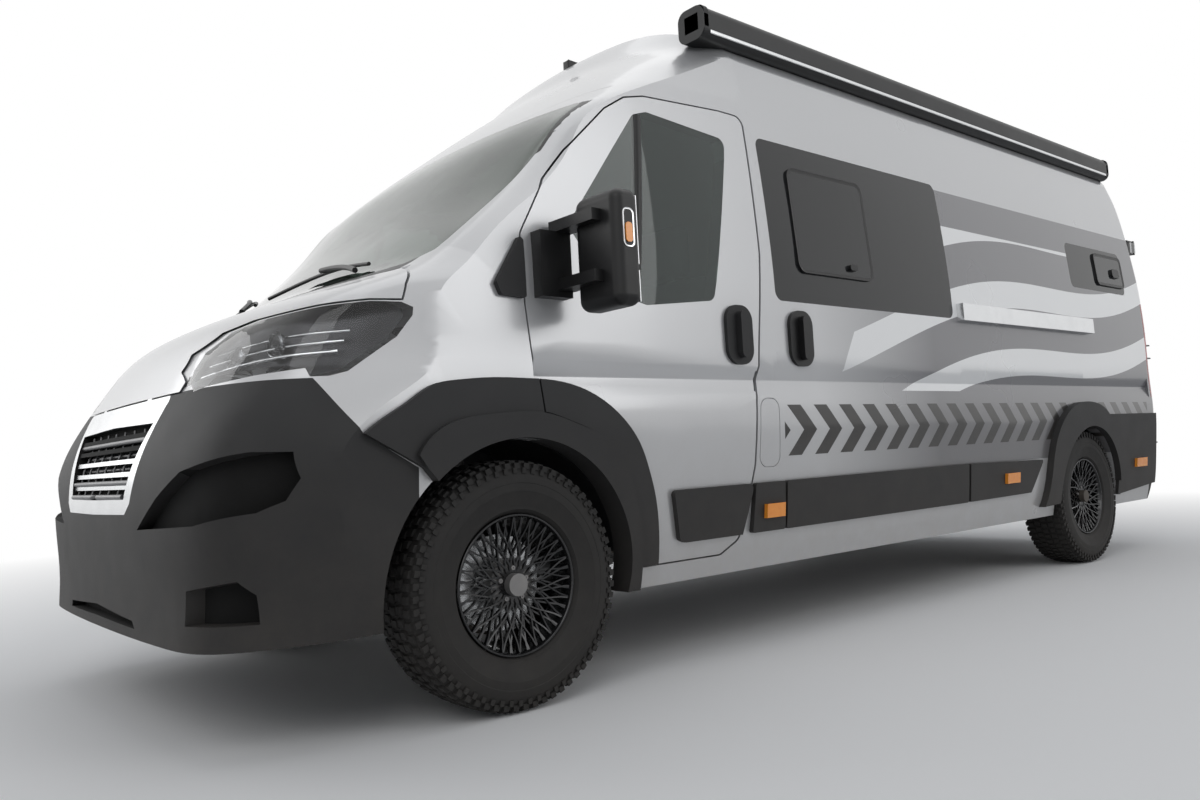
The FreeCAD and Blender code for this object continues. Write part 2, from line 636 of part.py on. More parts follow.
def spindle(centre, side):
    """Hub face and spindle that one wheel turns on."""
    seat_x = side * (RIM_WIDTH / 2 - SPOKE_DEPTH - RUNNING_GAP)
    seat = centre + Vector(seat_x, 0, 0)
    flange = Part.makeCylinder(HUB_RADIUS, HUB_DEPTH, seat, Vector(-side, 0, 0))
    pin_end = RUNNING_GAP + SPOKE_DEPTH
    pin = Part.makeCylinder(SPINDLE_RADIUS, pin_end, seat, Vector(side, 0, 0))
    return [flange, pin], seat - Vector(side * HUB_DEPTH, 0, 0)


def kingpin(side):
    """Lower and upper points of one steering axis."""
    low = Vector(side * KINGPIN_LOW_X, FRONT_AXLE, KINGPIN_LOW_Z)
    high = Vector(side * KINGPIN_HIGH_X, FRONT_AXLE, KINGPIN_HIGH_Z)
    return low, high


def knuckle_solid(side):
    """Steering knuckle with its hub, spindle and strut."""
    centre = wheel_centre(FRONT_AXLE, FRONT_TRACK, side)
    parts, back = spindle(centre, side)
    low, high = kingpin(side)
    way = (high - low).normalize()
    strut = rod(low + way * (2 * BALL_RADIUS), high - way * (2 * BALL_RADIUS), STRUT_RADIUS)
    at_hub = low + way * ((TYRE_RADIUS - KINGPIN_LOW_Z) / way.z)
    arm = rod(at_hub, Vector(back.x + side * HUB_DEPTH / 2, back.y, back.z), STRUT_RADIUS * 1.6)
    return one_piece(parts + [strut, arm])


def build_wheels():
    """Tyres and rims of all four wheels."""
    for place, axle, track in (("front", FRONT_AXLE, FRONT_TRACK), ("rear", REAR_AXLE, REAR_TRACK)):
        for name, side in (("left", 1), ("right", -1)):
            centre = wheel_centre(axle, track, side)
            save("tyre_%s_%s" % (place, name), tyre_solid(centre, side))
            save("rim_%s_%s" % (place, name), rim_solid(centre, side))


def subframe_solid():
    """Front cross member with the two lower arms."""
    half = RAIL_PLACE + RAIL_WIDTH / 2
    depth = RAIL_WIDTH
    low = Vector(-half, FRONT_AXLE - depth, KINGPIN_LOW_Z - depth / 4)
    beam = box((low.x, low.y, low.z), (half, FRONT_AXLE + depth, KINGPIN_LOW_Z + depth))
    pieces = [beam]
    for side in (1, -1):
        ball, high = kingpin(side)
        way = (high - ball).normalize()
        pieces.append(Part.makeSphere(BALL_RADIUS, ball + way * (BALL_RADIUS - SEAT_FIT)))
        for reach in (-depth / 2, depth / 2):
            start = Vector(side * (half - depth / 2), FRONT_AXLE + reach, KINGPIN_LOW_Z)
            pieces.append(rod(start, ball, BALL_RADIUS * 0.8))
    top = KINGPIN_LOW_Z + depth
    rail_low = FLOOR_TOP - FLOOR_WALL - RAIL_DEPTH
    engine_y = NOSE + ENGINE_SETBACK + ENGINE_LONG / 4
    for side in (1, -1):
        x = side * RAIL_PLACE
        pieces.append(box((x - depth / 2, FRONT_AXLE - depth / 2, top),
                          (x + depth / 2, FRONT_AXLE + depth / 2, rail_low)))
        x = side * ENGINE_HALF / 2
        pieces.append(box((x - depth / 2, engine_y, top - depth / 2),
                          (x + depth / 2, FRONT_AXLE, top)))
        pieces.append(box((x - depth / 2, engine_y, top),
                          (x + depth / 2, engine_y + ENGINE_LONG / 4, ENGINE_LOW)))
    return one_piece(pieces)


def rear_axle_solid():
    """Rear beam axle with its hubs and leaf springs."""
    pieces = []
    ends = []
    for side in (1, -1):
        parts, back = spindle(wheel_centre(REAR_AXLE, REAR_TRACK, side), side)
        pieces += parts
        ends.append(back)
    pieces.append(rod(ends[0], ends[1], SPINDLE_RADIUS * 1.3))
    spring_x, leaf = RAIL_PLACE + RAIL_WIDTH, RAIL_WIDTH
    reach = REAR_ARCH_RADIUS * 1.5
    rise = FLOOR_TOP - FLOOR_WALL - TYRE_RADIUS - SEAT_FIT
    for side in (1, -1):
        low = side * spring_x - leaf / 2
        outline = [(-reach, rise), (-reach * 0.9, rise), (0, SPINDLE_RADIUS * 1.6),
                   (reach * 0.9, rise), (reach, rise), (reach, rise * 0.7), (0, 0),
                   (-reach, rise * 0.7)]
        points = [Vector(low, REAR_AXLE + y, TYRE_RADIUS + z) for y, z in outline]
        face = Part.Face(Part.makePolygon(points + points[:1]))
        pieces.append(face.extrude(Vector(leaf, 0, 0)))
    return one_piece(pieces)


def side_bar(shares, low_x, high_x, radius=0.0, grow=0.0):
    """Bar along X between two planes, with a side outline."""
    points = [Vector(low_x, NOSE + y * LENGTH, z * ROOF_HEIGHT) for y, z in shares]
    face = rounded_face(points, radius) if radius else Part.Face(Part.makePolygon(points + points[:1]))
    if grow:
        face = Part.Face(face.OuterWire.makeOffset2D(grow))
    return face.extrude(Vector(high_x - low_x, 0, 0))


def curved_bar(curve, corners, axle, low_x, high_x, grow=0.0):
    """Bar along X with a smooth outline round one arch, grown away from the wheel's centre."""
    centre = Vector(low_x, axle, TYRE_RADIUS)
    points = [Vector(low_x, NOSE + y * LENGTH, z * ROOF_HEIGHT) for y, z in curve + corners]
    points = [p + (p - centre).normalize() * grow for p in points]
    spline = Part.BSplineCurve()
    spline.interpolate(points[:len(curve)])
    closing = points[len(curve) - 1:] + points[:1]
    edges = [spline.toShape()] + [Part.makeLine(a, b) for a, b in zip(closing, closing[1:])]
    return Part.Face(Part.Wire(edges)).extrude(Vector(high_x - low_x, 0, 0))


def ring(centre, way, inner_radius, outer_radius, length):
    """Round tube along a way."""
    outer = Part.makeCylinder(outer_radius, length, centre, way)
    return outer.cut(Part.makeCylinder(inner_radius, length, centre, way))


def wheelhouse(axle, radius, side, grow=0.0):
    """Filled block of one wheelhouse, from its inner wall to the side lining."""
    inner_x = side * (HALF - arch_depth(axle) - LINER_WALL)
    reach = arch_depth(axle) + LINER_WALL - SHELL_WALL - 2 * LINER_WALL
    block = Part.makeCylinder(radius + grow, reach, Vector(inner_x, axle, TYRE_RADIUS), Vector(side, 0, 0))
    low = TYRE_RADIUS + STRUT_RADIUS * 2
    wide = HALF + OVERRUN
    return block.cut(box((-wide, axle - wide, -OVERRUN), (wide, axle + wide, low)))


def wheelhouse_solids(lining):
    """Four wheel arch liners with their inner walls."""
    solids = []
    for axle, radius in ((FRONT_AXLE, FRONT_ARCH_RADIUS), (REAR_AXLE, REAR_ARCH_RADIUS)):
        liner = wheelhouse(axle, radius, 1, LINER_WALL).cut(arch_cutter(axle, radius, 1)).common(lining)
        if axle == FRONT_AXLE:
            liner = liner.cut(strut_room(1))
        solids += both_sides(liner)
    return solids


def strut_room(side):
    """Round way that one strut needs through the wheelhouse and floor."""
    ball, high = kingpin(side)
    way = (high - ball).normalize()
    seat = high - way * (2 * BALL_RADIUS - SEAT_FIT)
    return rod(ball, seat, STRUT_RADIUS * 2)


def floor_cutters():
    """What the floor and the frame leave free: wheelhouses, struts and the rear axle."""
    cutters = []
    for side in (1, -1):
        cutters.append(arch_cutter(FRONT_AXLE, FRONT_ARCH_RADIUS + LINER_WALL, side))
        cutters.append(arch_cutter(REAR_AXLE, REAR_ARCH_RADIUS + LINER_WALL, side))
        cutters.append(wheelhouse(FRONT_AXLE, FRONT_ARCH_RADIUS, side, LINER_WALL))
        cutters.append(wheelhouse(REAR_AXLE, REAR_ARCH_RADIUS, side, LINER_WALL))
        cutters.append(strut_room(side))
    notch = SPINDLE_RADIUS * AXLE_NOTCH_SHARE
    cutters.append(box((-HALF, REAR_AXLE - notch, SKIRT), (HALF, REAR_AXLE + notch, TYRE_RADIUS + notch)))
    return cutters


def floor_solids(lining):
    """Floor slab and bulkhead with the shelves that carry the struts."""
    low, top = FLOOR_TOP - FLOOR_WALL, FLOOR_TOP
    bulkhead = NOSE + BULKHEAD_SETBACK
    rear_end = rear_place(FLOOR_TOP) - SHELL_WALL - SEAT_FIT
    slab = lining.common(box((-HALF, bulkhead + FLOOR_WALL, low), (HALF, rear_end, top)))
    wall = lining.common(box((-HALF, bulkhead, low), (HALF, bulkhead + FLOOR_WALL, COWL_HEIGHT - SHELL_WALL)))
    for side in (1, -1):
        ball, high = kingpin(side)
        way = (high - ball).normalize()
        seat = high - way * (2 * BALL_RADIUS - SEAT_FIT)
        shelf = box((seat.x - RAIL_WIDTH, seat.y - RAIL_WIDTH, seat.z),
                    (seat.x + RAIL_WIDTH, bulkhead + FLOOR_WALL, seat.z + STRUT_RADIUS * 2))
        if seat.y - RAIL_WIDTH > bulkhead:
            shelf = box((seat.x - RAIL_WIDTH, bulkhead, seat.z),
                        (seat.x + RAIL_WIDTH, seat.y + RAIL_WIDTH, seat.z + STRUT_RADIUS * 2))
        wall = wall.fuse(shelf)
    edge = half_width(FLOOR_TOP) - SHELL_WALL - RUNNING_GAP * 2
    door_start = NOSE + CAB_DOOR_SHARES[0][0] * LENGTH - RUNNING_GAP * 2
    door_end = NOSE + CAB_DOOR_SHARES[11][0] * LENGTH + RUNNING_GAP * 2
    cutters = floor_cutters()
    for side in (1, -1):
        low_x, high_x = sorted((side * edge, side * (HALF + OVERRUN)))
        cutters.append(box((low_x, door_start, 0), (high_x, door_end, ROOF_HEIGHT)))
    return [slab.cut(cutters), wall.removeSplitter().cut(cutters)]


def chassis_solids():
    """Two long rails with jack pads, and the cross members between and beside them."""
    low, top = FLOOR_TOP - FLOOR_WALL - RAIL_DEPTH, FLOOR_TOP - FLOOR_WALL
    inner, outer = RAIL_PLACE - RAIL_WIDTH / 2, RAIL_PLACE + RAIL_WIDTH / 2
    reach = half_width(SKIRT) - SHELL_WALL * 2
    rear_end = rear_place(FLOOR_TOP) - SHELL_WALL - SEAT_FIT - RAIL_WIDTH
    jack_y = NOSE + JACK_SETBACK
    rail = box((inner, NOSE + SHELL_WALL * 3, low), (outer, rear_end, top))
    for y in (NOSE + TOW_SETBACK, NOSE + TOW_SETBACK + TOW_SPACING):
        place = Vector(RAIL_PLACE, y, low)
        rail = rail.cut(Part.makeCylinder(TOW_HOLE_RADIUS, TOW_HOLE_DEPTH, place, Vector(0, 0, 1)))
    pad = box((inner, jack_y, low - JACK_PAD_TALL), (inner + JACK_PAD, jack_y + JACK_PAD, low))
    solids = both_sides(one_piece([rail, pad]))
    for place in RAIL_CROSS_SHARES:
        y = NOSE + place * LENGTH
        middle = box((-inner, y, low + RAIL_DEPTH / 2), (inner, y + RAIL_WIDTH, top))
        arm = box((outer, y, low + RAIL_DEPTH / 2), (reach, y + RAIL_WIDTH, top))
        solids += [middle] + both_sides(arm)
    cutters = floor_cutters()
    return [s.cut(cutters) for s in solids]


def skin(forms, bar):
    """Body wall inside a bar."""
    return forms["grooved"].common(bar).cut(forms["inner"])


def plate(forms, bar, name):
    """Trim on the body inside a bar, as thick as a grown form."""
    return forms[name].common(bar).cut(forms["outer"])


def cells(solid, breaks, heights):
    """Pieces of a wall between upright planes and level planes."""
    wide = HALF + OVERRUN
    ys = [NOSE - OVERRUN] + [NOSE + share * LENGTH for share in breaks] + [TAIL + OVERRUN]
    zs = [-OVERRUN] + [share * ROOF_HEIGHT for share in heights] + [ROOF_HEIGHT + OVERRUN]
    pieces = []
    for start, end in zip(ys, ys[1:]):
        for low, high in zip(zs, zs[1:]):
            pieces += solid.common(box((-wide, start, low), (wide, end, high))).Solids
    return pieces


def waist_groove():
    """Bar along the left side that presses the groove into the waist."""
    floor = half_width(GROOVE_FLOOR) - GROOVE_DEPTH
    rows = [(floor, GROOVE_FLOOR), (floor, GROOVE_ROOF)]
    rows.append((2 * half_width(GROOVE_HIGH) - floor, 2 * GROOVE_HIGH - GROOVE_ROOF))
    rows.append((2 * half_width(GROOVE_LOW) - floor, 2 * GROOVE_LOW - GROOVE_FLOOR))
    points = [Vector(x, NOSE + GROOVE_START, z) for x, z in rows]
    face = Part.Face(Part.makePolygon(points + points[:1]))
    return face.extrude(Vector(0, GROOVE_END - GROOVE_START, 0))


def pane(forms, bar):
    """Thin glass inside a bar, flush with the body's outer form."""
    return forms["outer"].common(bar).cut(forms["core"])


def both_sides(bar):
    """A bar and its mirror image."""
    return [bar, mirrored_x(bar)]


def rear_opening(grow):
    """Bar along Y with the outline of both rear doors."""
    points = []
    for share in REAR_DOOR_HEIGHT_SHARES:
        height = share * ROOF_HEIGHT
        points.append(Vector(half_width(height) - SHELL_WALL - REAR_POST, TAIL - OVERRUN, height))
    points += [Vector(-p.x, p.y, p.z) for p in points[::-1]]
    face = Part.Face(Part.makePolygon(points + points[:1]))
    if grow:
        face = Part.Face(face.OuterWire.makeOffset2D(grow))
    return face.extrude(Vector(0, 2 * OVERRUN, 0))


def window_bar(low_x, high_x, low_z, high_z, grow=0.0):
    """Bar along Y for one rear door window."""
    points = [Vector(x, TAIL - OVERRUN, z) for x, z in
              ((low_x, low_z), (high_x, low_z), (high_x, high_z), (low_x, high_z))]
    face = rounded_face(points, OUTLINE_ROUND * 2)
    if grow:
        face = Part.Face(face.OuterWire.makeOffset2D(grow))
    return face.extrude(Vector(0, 2 * OVERRUN, 0))


def on_side(shares, forms, reach, radius):
    """Plate on the left body side, standing out to a flat outer face."""
    return side_bar(shares, HALF / 2, reach, radius).cut(forms["outer"])


def mirror_solid(forms):
    """Left door mirror: foot, two arms and housing."""
    low_x, high_x = HALF + MIRROR_GAP, HALF + MIRROR_GAP + MIRROR_REACH
    low_y = NOSE + MIRROR_SETBACK
    housing = box((low_x, low_y, MIRROR_LOW), (high_x, low_y + MIRROR_DEPTH, MIRROR_LOW + MIRROR_TALL))
    housing = housing.makeFillet(MIRROR_DEPTH * MIRROR_ROUND_SHARE, housing.Edges)
    foot_y = NOSE + MIRROR_FOOT_SETBACK
    foot = box((HALF / 2, foot_y, MIRROR_FOOT_LOW),
               (HALF + MIRROR_ARM, foot_y + MIRROR_FOOT_LONG, MIRROR_FOOT_LOW + MIRROR_FOOT_TALL))
    pieces = [housing, foot]
    for share in MIRROR_ARM_SHARES:
        z = MIRROR_LOW + MIRROR_TALL * share
        pieces.append(box((HALF, low_y - MIRROR_ARM, z), (high_x - MIRROR_ARM * 2, low_y + MIRROR_ARM, z + MIRROR_ARM)))
    return one_piece(pieces).cut(forms["outer"])


def steering_wheel():
    """Steering wheel on its column."""
    centre = Vector(-DRIVER_X, NOSE + STEERING_SETBACK, STEERING_HEIGHT)
    way = Vector(0, 1, 0.55).normalize()
    wheel = Part.makeTorus(STEERING_RADIUS, STEERING_GRIP, centre, way)
    boss = Part.makeCylinder(STEERING_RADIUS * 0.3, STEERING_GRIP * 3, centre - way * (STEERING_GRIP * 1.5), way)
    pieces = [wheel, boss]
    across = Vector(1, 0, 0)
    upward = way.cross(across)
    for turn in (0, 180, 270):
        angle = math.radians(turn)
        end = across * math.cos(angle) + upward * math.sin(angle)
        pieces.append(rod(centre, centre + end * STEERING_RADIUS, STEERING_GRIP * 0.8))
    pieces.append(rod(centre, centre - way * (STEERING_RADIUS * 2), STEERING_GRIP * 2.5))
    return pieces


def dashboard_solid():
    """Dashboard with the steering wheel."""
    low_y = NOSE + BULKHEAD_SETBACK + FLOOR_WALL
    deep = DASH_DEPTH
    outline = [(0, DASH_LOW), (deep * 0.6, DASH_LOW), (deep, DASH_TOP - DASH_DEPTH * 0.4),
               (deep * 0.8, DASH_TOP), (0, DASH_TOP)]
    points = [Vector(-DASH_HALF, low_y + y, z) for y, z in outline]
    face = Part.Face(Part.makePolygon(points + points[:1]))
    dash = face.extrude(Vector(2 * DASH_HALF, 0, 0))
    return one_piece([dash] + steering_wheel())


def seat_solids():
    """Two cab seats, each a pedestal, a cushion, a back and a headrest."""
    solids = []
    y, half = NOSE + SEAT_SETBACK, SEAT_WIDTH / 2
    deep, thick, high = SEAT_DEPTH, SEAT_THICK, SEAT_HEIGHT
    base, rest = half * SEAT_BASE_SHARE, half * SEAT_REST_SHARE
    end = y + deep
    edge = deep * (1 - SEAT_BASE_SHARE) / 2
    for side in (1, -1):
        x = side * DRIVER_X
        solids.append(box((x - base, y + edge, FLOOR_TOP), (x + base, end - edge, high)))
        solids.append(box((x - half, y, high), (x + half, end, high + thick)))
        solids.append(box((x - half, end - thick, high + thick), (x + half, end, high + SEAT_BACK)))
        solids.append(box((x - rest, end - thick, high + SEAT_BACK), (x + rest, end, high + SEAT_BACK + 2 * rest)))
    return solids


def living_solids():
    """Kitchen block, bench, and a bed on two side boards."""
    wall = half_width(FLOOR_TOP + KITCHEN_TALL) - SHELL_WALL - RUNNING_GAP * 4
    low, inner = NOSE + KITCHEN_SETBACK, wall - UNIT_DEPTH
    kitchen = box((inner, low, FLOOR_TOP), (wall, low + KITCHEN_LONG, FLOOR_TOP + KITCHEN_TALL))
    bench = box((-wall, low, FLOOR_TOP), (-inner, low + KITCHEN_LONG, FLOOR_TOP + KITCHEN_TALL / 2))
    start, top = NOSE + BED_SETBACK, FLOOR_TOP + BED_TALL
    bed = box((-wall, start, top - BED_THICK), (wall, start + BED_LONG, top))
    board = box((inner, start, FLOOR_TOP), (wall, start + UNIT_DEPTH / 4, top - BED_THICK))
    return [kitchen, bench, bed] + both_sides(board)


def lip_bar(grow=0.0):
    """Bar along X with the outline of the left front arch's lip."""
    return curved_bar(LIP_SHARES, LIP_END_SHARES, FRONT_AXLE, 0, HALF + OVERRUN, grow)


def pillar_bars():
    """Cab door outlines grown by a pillar's width."""
    return both_sides(side_prism(CAB_DOOR_SHARES, grow=PILLAR_WIDTH))


def screen_bar():
    """Bar of the windscreen opening, ending a pillar's width from the cab doors."""
    return front_prism(SCREEN_SHARES, LENGTH / 3).cut(pillar_bars())


def grille_solid(forms):
    """Grille frame with level slats across its opening, and rests for the bonnet."""
    opening = front_prism(GRILLE_OPENING_SHARES, GRILLE_DEPTH)
    bounds = opening.BoundBox
    pitch = bounds.ZLength / (SLAT_COUNT + 1)
    slats = []
    for i in range(SLAT_COUNT):
        z = bounds.ZMin + pitch * (i + 1) - SLAT_TALL / 2
        slats.append(box((-HALF, NOSE - OVERRUN, z), (HALF, NOSE + OVERRUN, z + SLAT_TALL)))
    slats = Part.makeCompound(slats).common(forms["core"])
    pocket = opening.cut(forms["deep"]).cut(slats)
    frame = skin(forms, front_prism(GRILLE_SHARES, GRILLE_DEPTH)).cut(pocket)
    rest = skin(forms, front_prism(REST_SHARES, GRILLE_DEPTH, both=False))
    rest.translate(Vector(0, 0, -SEAT_FIT))
    return one_piece([frame, rest, mirrored_x(rest)])


def bonnet_bar(grow=0.0):
    """Block that bounds the bonnet from the side and from above."""
    wide = HALF + OVERRUN
    points = [Vector(HALF * x, NOSE + LENGTH * y, 0) for x, y in BONNET_PLAN_SHARES]
    points += [Vector(-p.x, p.y, 0) for p in points[::-1] if p.x > 0]
    face = Part.Face(Part.makePolygon(points + points[:1]))
    if grow:
        face = Part.Face(face.OuterWire.makeOffset2D(grow))
    plan = face.extrude(Vector(0, 0, ROOF_HEIGHT))
    return side_bar(BONNET_SHARES, -wide, wide, grow=grow).common(plan)


def bumper_pockets(forms):
    """Air intakes, fog lamp recesses and the low slot, cut to one depth."""
    bars = []
    for shares in (INTAKE_SHARES, FOG_SHARES):
        bars += both_sides(front_prism(shares, INTAKE_DEPTH, both=False))
    bars.append(front_prism(SLOT_SHARES, GRILLE_DEPTH))
    return [bar.cut(forms["deep"]) for bar in bars]


def build_front(forms):
    """Windscreen, bonnet, lamps, grille, bumper, scuttle and wings."""
    wide = HALF + OVERRUN
    save("windscreen", pane(forms, front_prism(SCREEN_SHARES, LENGTH / 3)).cut(pillar_bars()))
    cab_holes = both_sides(side_prism(CAB_DOOR_SHARES, grow=PANEL_GAP))
    zone = side_bar(NOSE_ZONE_SHARES, -wide, wide).cut([screen_bar()] + cab_holes + arch_cutters())
    save("bonnet", skin(forms, bonnet_bar()))
    zone = zone.cut(bonnet_bar(PANEL_GAP))
    lamp = side_bar(LAMP_SHARES, LAMP_PLACE, wide)
    rests = both_sides(front_prism(REST_SHARES, GRILLE_DEPTH, both=False))
    zone = zone.cut(both_sides(lamp) + rests + [front_prism(GRILLE_SHARES, GRILLE_DEPTH)])
    save("grille", grille_solid(forms))
    bumper = side_bar(BUMPER_ZONE_SHARES, -wide, wide)
    save("front_bumper", skin(forms, zone.common(bumper)).cut(bumper_pockets(forms)))
    zone = zone.cut(bumper)
    low = COWL_HEIGHT - 2 * SHELL_WALL
    cowl = box((-COWL_HALF, NOSE, low), (COWL_HALF, NOSE + LENGTH / 6, ROOF_HEIGHT))
    save("cowl_panel", skin(forms, zone.common(cowl)))
    save("front_wings", skin(forms, zone.cut(cowl)))
    return both_sides(skin(forms, lamp))


def hinge_leaf(height):
    """Strap and barrel of one left rear door hinge."""
    axis = Vector(REAR_HINGE_X, TAIL + REAR_HINGE_BACK, height - HINGE_TALL / 2)
    low_edge, high_edge = half_width(axis.z), half_width(axis.z + HINGE_TALL)
    edge = min(low_edge, high_edge) - SHELL_WALL - REAR_POST
    near = rear_place(height) - HINGE_BARREL
    strap = box((edge - HINGE_TALL, near, axis.z), (axis.x, near + 2 * HINGE_BARREL + PANEL_GAP, axis.z + HINGE_TALL))
    free = box((edge, near - HINGE_TALL, axis.z), (axis.x, rear_place(height) + PANEL_GAP, axis.z + HINGE_TALL))
    arm = box((axis.x - 2 * HINGE_BARREL, near, axis.z), (axis.x, axis.y, axis.z + HINGE_TALL)).cut(free)
    barrel = Part.makeCylinder(HINGE_BARREL, HINGE_TALL, axis, Vector(0, 0, 1))
    bore = Part.makeCylinder(HINGE_PIN + HINGE_FIT, HINGE_TALL, axis, Vector(0, 0, 1))
    return strap.cut(free).fuse([arm, barrel]).removeSplitter().cut(bore)


def hinge_post(height):
    """Pin of one left rear door hinge, with the brackets that hold it to the corner post."""
    axis = Vector(REAR_HINGE_X, TAIL + REAR_HINGE_BACK, height - HINGE_TALL / 2)
    out = half_width(height) - SHELL_WALL / 4
    pieces = [Part.makeCylinder(HINGE_PIN, HINGE_TALL + 2 * HINGE_BARREL, axis - Vector(0, 0, HINGE_BARREL), Vector(0, 0, 1))]
    for low in (axis.z - HINGE_BARREL, axis.z + HINGE_TALL + PANEL_GAP / 2):
        high = low + HINGE_BARREL - PANEL_GAP / 2
        left, right = sorted((axis.x - HINGE_PIN, out))
        pieces.append(box((left, axis.y - HINGE_PIN, low), (max(right, axis.x + HINGE_PIN), axis.y + HINGE_PIN, high)))
        pieces.append(box((out - SHELL_WALL / 3, rear_place(height) - SHELL_WALL / 2, low), (out, axis.y, high)))
    return one_piece(pieces)


def build_rear_doors(forms):
    """Two rear doors with their hinges and glass."""
    band = box((LEAF_GAP / 2, TAIL - SHELL_WALL * 4, 0), (2 * HALF, TAIL + OVERRUN, ROOF_HEIGHT))
    hem = box((0, 0, 0), (LEAF_GAP / 2 + HEM_SETBACK, TAIL + OVERRUN, ROOF_HEIGHT)).common(forms["core"])
    window = window_bar(REAR_GLASS_NEAR, REAR_GLASS_FAR, REAR_GLASS_LOW, REAR_GLASS_HIGH)
    leaf = skin(forms, rear_opening(0.0).common(band)).cut([window, hem])
    leaf = one_piece([leaf] + [hinge_leaf(height) for height in HINGE_HEIGHTS])
    glass = pane(forms, window.common(band))
    save("rear_door_left", leaf)
    save("rear_glass_left", glass)
    save("rear_door_right", mirrored_x(leaf))
    save("rear_glass_right", mirrored_x(glass))


def build_sides(forms):
    """Cab doors, sliding door, side panels, roof and their glass."""
    wide = HALF + OVERRUN
    cab = side_prism(CAB_DOOR_SHARES)
    cab_hole = side_prism(CAB_DOOR_SHARES, grow=PANEL_GAP)
    swing_room = moved(cab_hole, SWING_GAP)
    hem = cab.cut(moved(cab, -HEM_SETBACK)).common(forms["core"])
    cab_window = side_prism(DOOR_GLASS_SHARES)
    slide = side_prism(SLIDING_DOOR_SHARES)
    slide_window = side_prism(SLIDING_WINDOW_SHARES)
    rear_window = side_prism(REAR_WINDOW_SHARES)
    arches = arch_cutters()
    door = skin(forms, cab).cut(hem).cut([cab_window, lip_bar(PANEL_GAP)] + arches)
    glass = pane(forms, cab_window)
    save("cab_door_left", door)
    save("cab_door_right", mirrored_x(door))
    save("door_glass_left", glass)
    save("door_glass_right", mirrored_x(glass))
    save("sliding_door", skin(forms, slide.cut(slide_window)))
    zone = side_bar(SIDE_ZONE_SHARES, 0, wide).cut(screen_bar())
    rear_band = box((0, TAIL - SHELL_WALL * 4, 0), (2 * HALF, TAIL + OVERRUN, ROOF_HEIGHT))
    rear_hole = rear_opening(PANEL_GAP).common(rear_band)
    rear_zone = side_bar(REAR_BUMPER_ZONE_SHARES, -wide, wide)
    zone = zone.cut([cab_hole, swing_room, rear_window, rear_hole, rear_zone, tail_lamp_bar(), lip_bar()] + arches)
    flap = side_prism(FLAP_SHARES, grow=PANEL_GAP / 2).cut(side_prism(FLAP_SHARES)).cut(forms["core"])
    left, right = skin(forms, zone.cut(slide)).cut(flap), skin(forms, zone.cut(slide_window))
    posts = [hinge_post(height) for height in HINGE_HEIGHTS]
    save("side_panel_left", cells(left, SIDE_BREAK_SHARES, WALL_BREAK_SHARES))
    save("side_panel_right", [mirrored_x(s) for s in cells(right, SIDE_BREAK_SHARES, WALL_BREAK_SHARES)])
    save("door_hinges", sum([both_sides(post.cut(forms["outer"])) for post in posts], []))
    panes = [pane(forms, slide_window), pane(forms, rear_window)]
    save("side_windows", panes + [mirrored_x(p) for p in panes])
    save("roof_panel", cells(skin(forms, side_bar(ROOF_ZONE_SHARES, -wide, wide)), ROOF_BREAK_SHARES, []))


def flare_solids(forms):
    """Left arch flares: the front one in two steps, and the rear one."""
    wide = HALF + OVERRUN
    arches = arch_cutters()
    band = curved_bar(FLARE_SHARES, FLARE_END_SHARES, FRONT_AXLE, 0, wide).cut(lip_bar())
    hole = side_prism(CAB_DOOR_SHARES, grow=PANEL_GAP)
    behind = box((0, NOSE + NOSE_ZONE_SHARES[1][0] * LENGTH, 0), (wide, 0, ROOF_HEIGHT))
    lip = plate(forms, lip_bar().cut(arches), "lip")
    wall = skin(forms, lip_bar().common(behind).cut(arches))
    step = plate(forms, band.cut([hole] + arches), "band")
    rear = curved_bar(REAR_FLARE_SHARES, REAR_FLARE_END_SHARES, REAR_AXLE, 0, wide).cut(arches)
    return [one_piece([lip, wall, step]), plate(forms, rear, "lip")]


def door_trim(forms):
    """Plastic on the left cab door: flare, rub strip and handle."""
    wide = HALF + OVERRUN
    door = side_prism(CAB_DOOR_SHARES)
    band = curved_bar(FLARE_SHARES, FLARE_END_SHARES, FRONT_AXLE, 0, wide).cut([lip_bar(PANEL_GAP)] + arch_cutters())
    pieces = [plate(forms, band.common(door), "band")]
    pieces.append(plate(forms, side_bar(DOOR_STRIP_SHARES, 0, wide, GRIP_ROUND).common(door), "band"))
    return pieces + [handle_solid(forms)]


def handle_solid(forms):
    """Left cab door handle: a plate with an upright grip."""
    base = on_side(HANDLE_SHARES, forms, HANDLE_X, HANDLE_ROUND)
    return one_piece([base, on_side(GRIP_SHARES, forms, GRIP_X, GRIP_ROUND)])


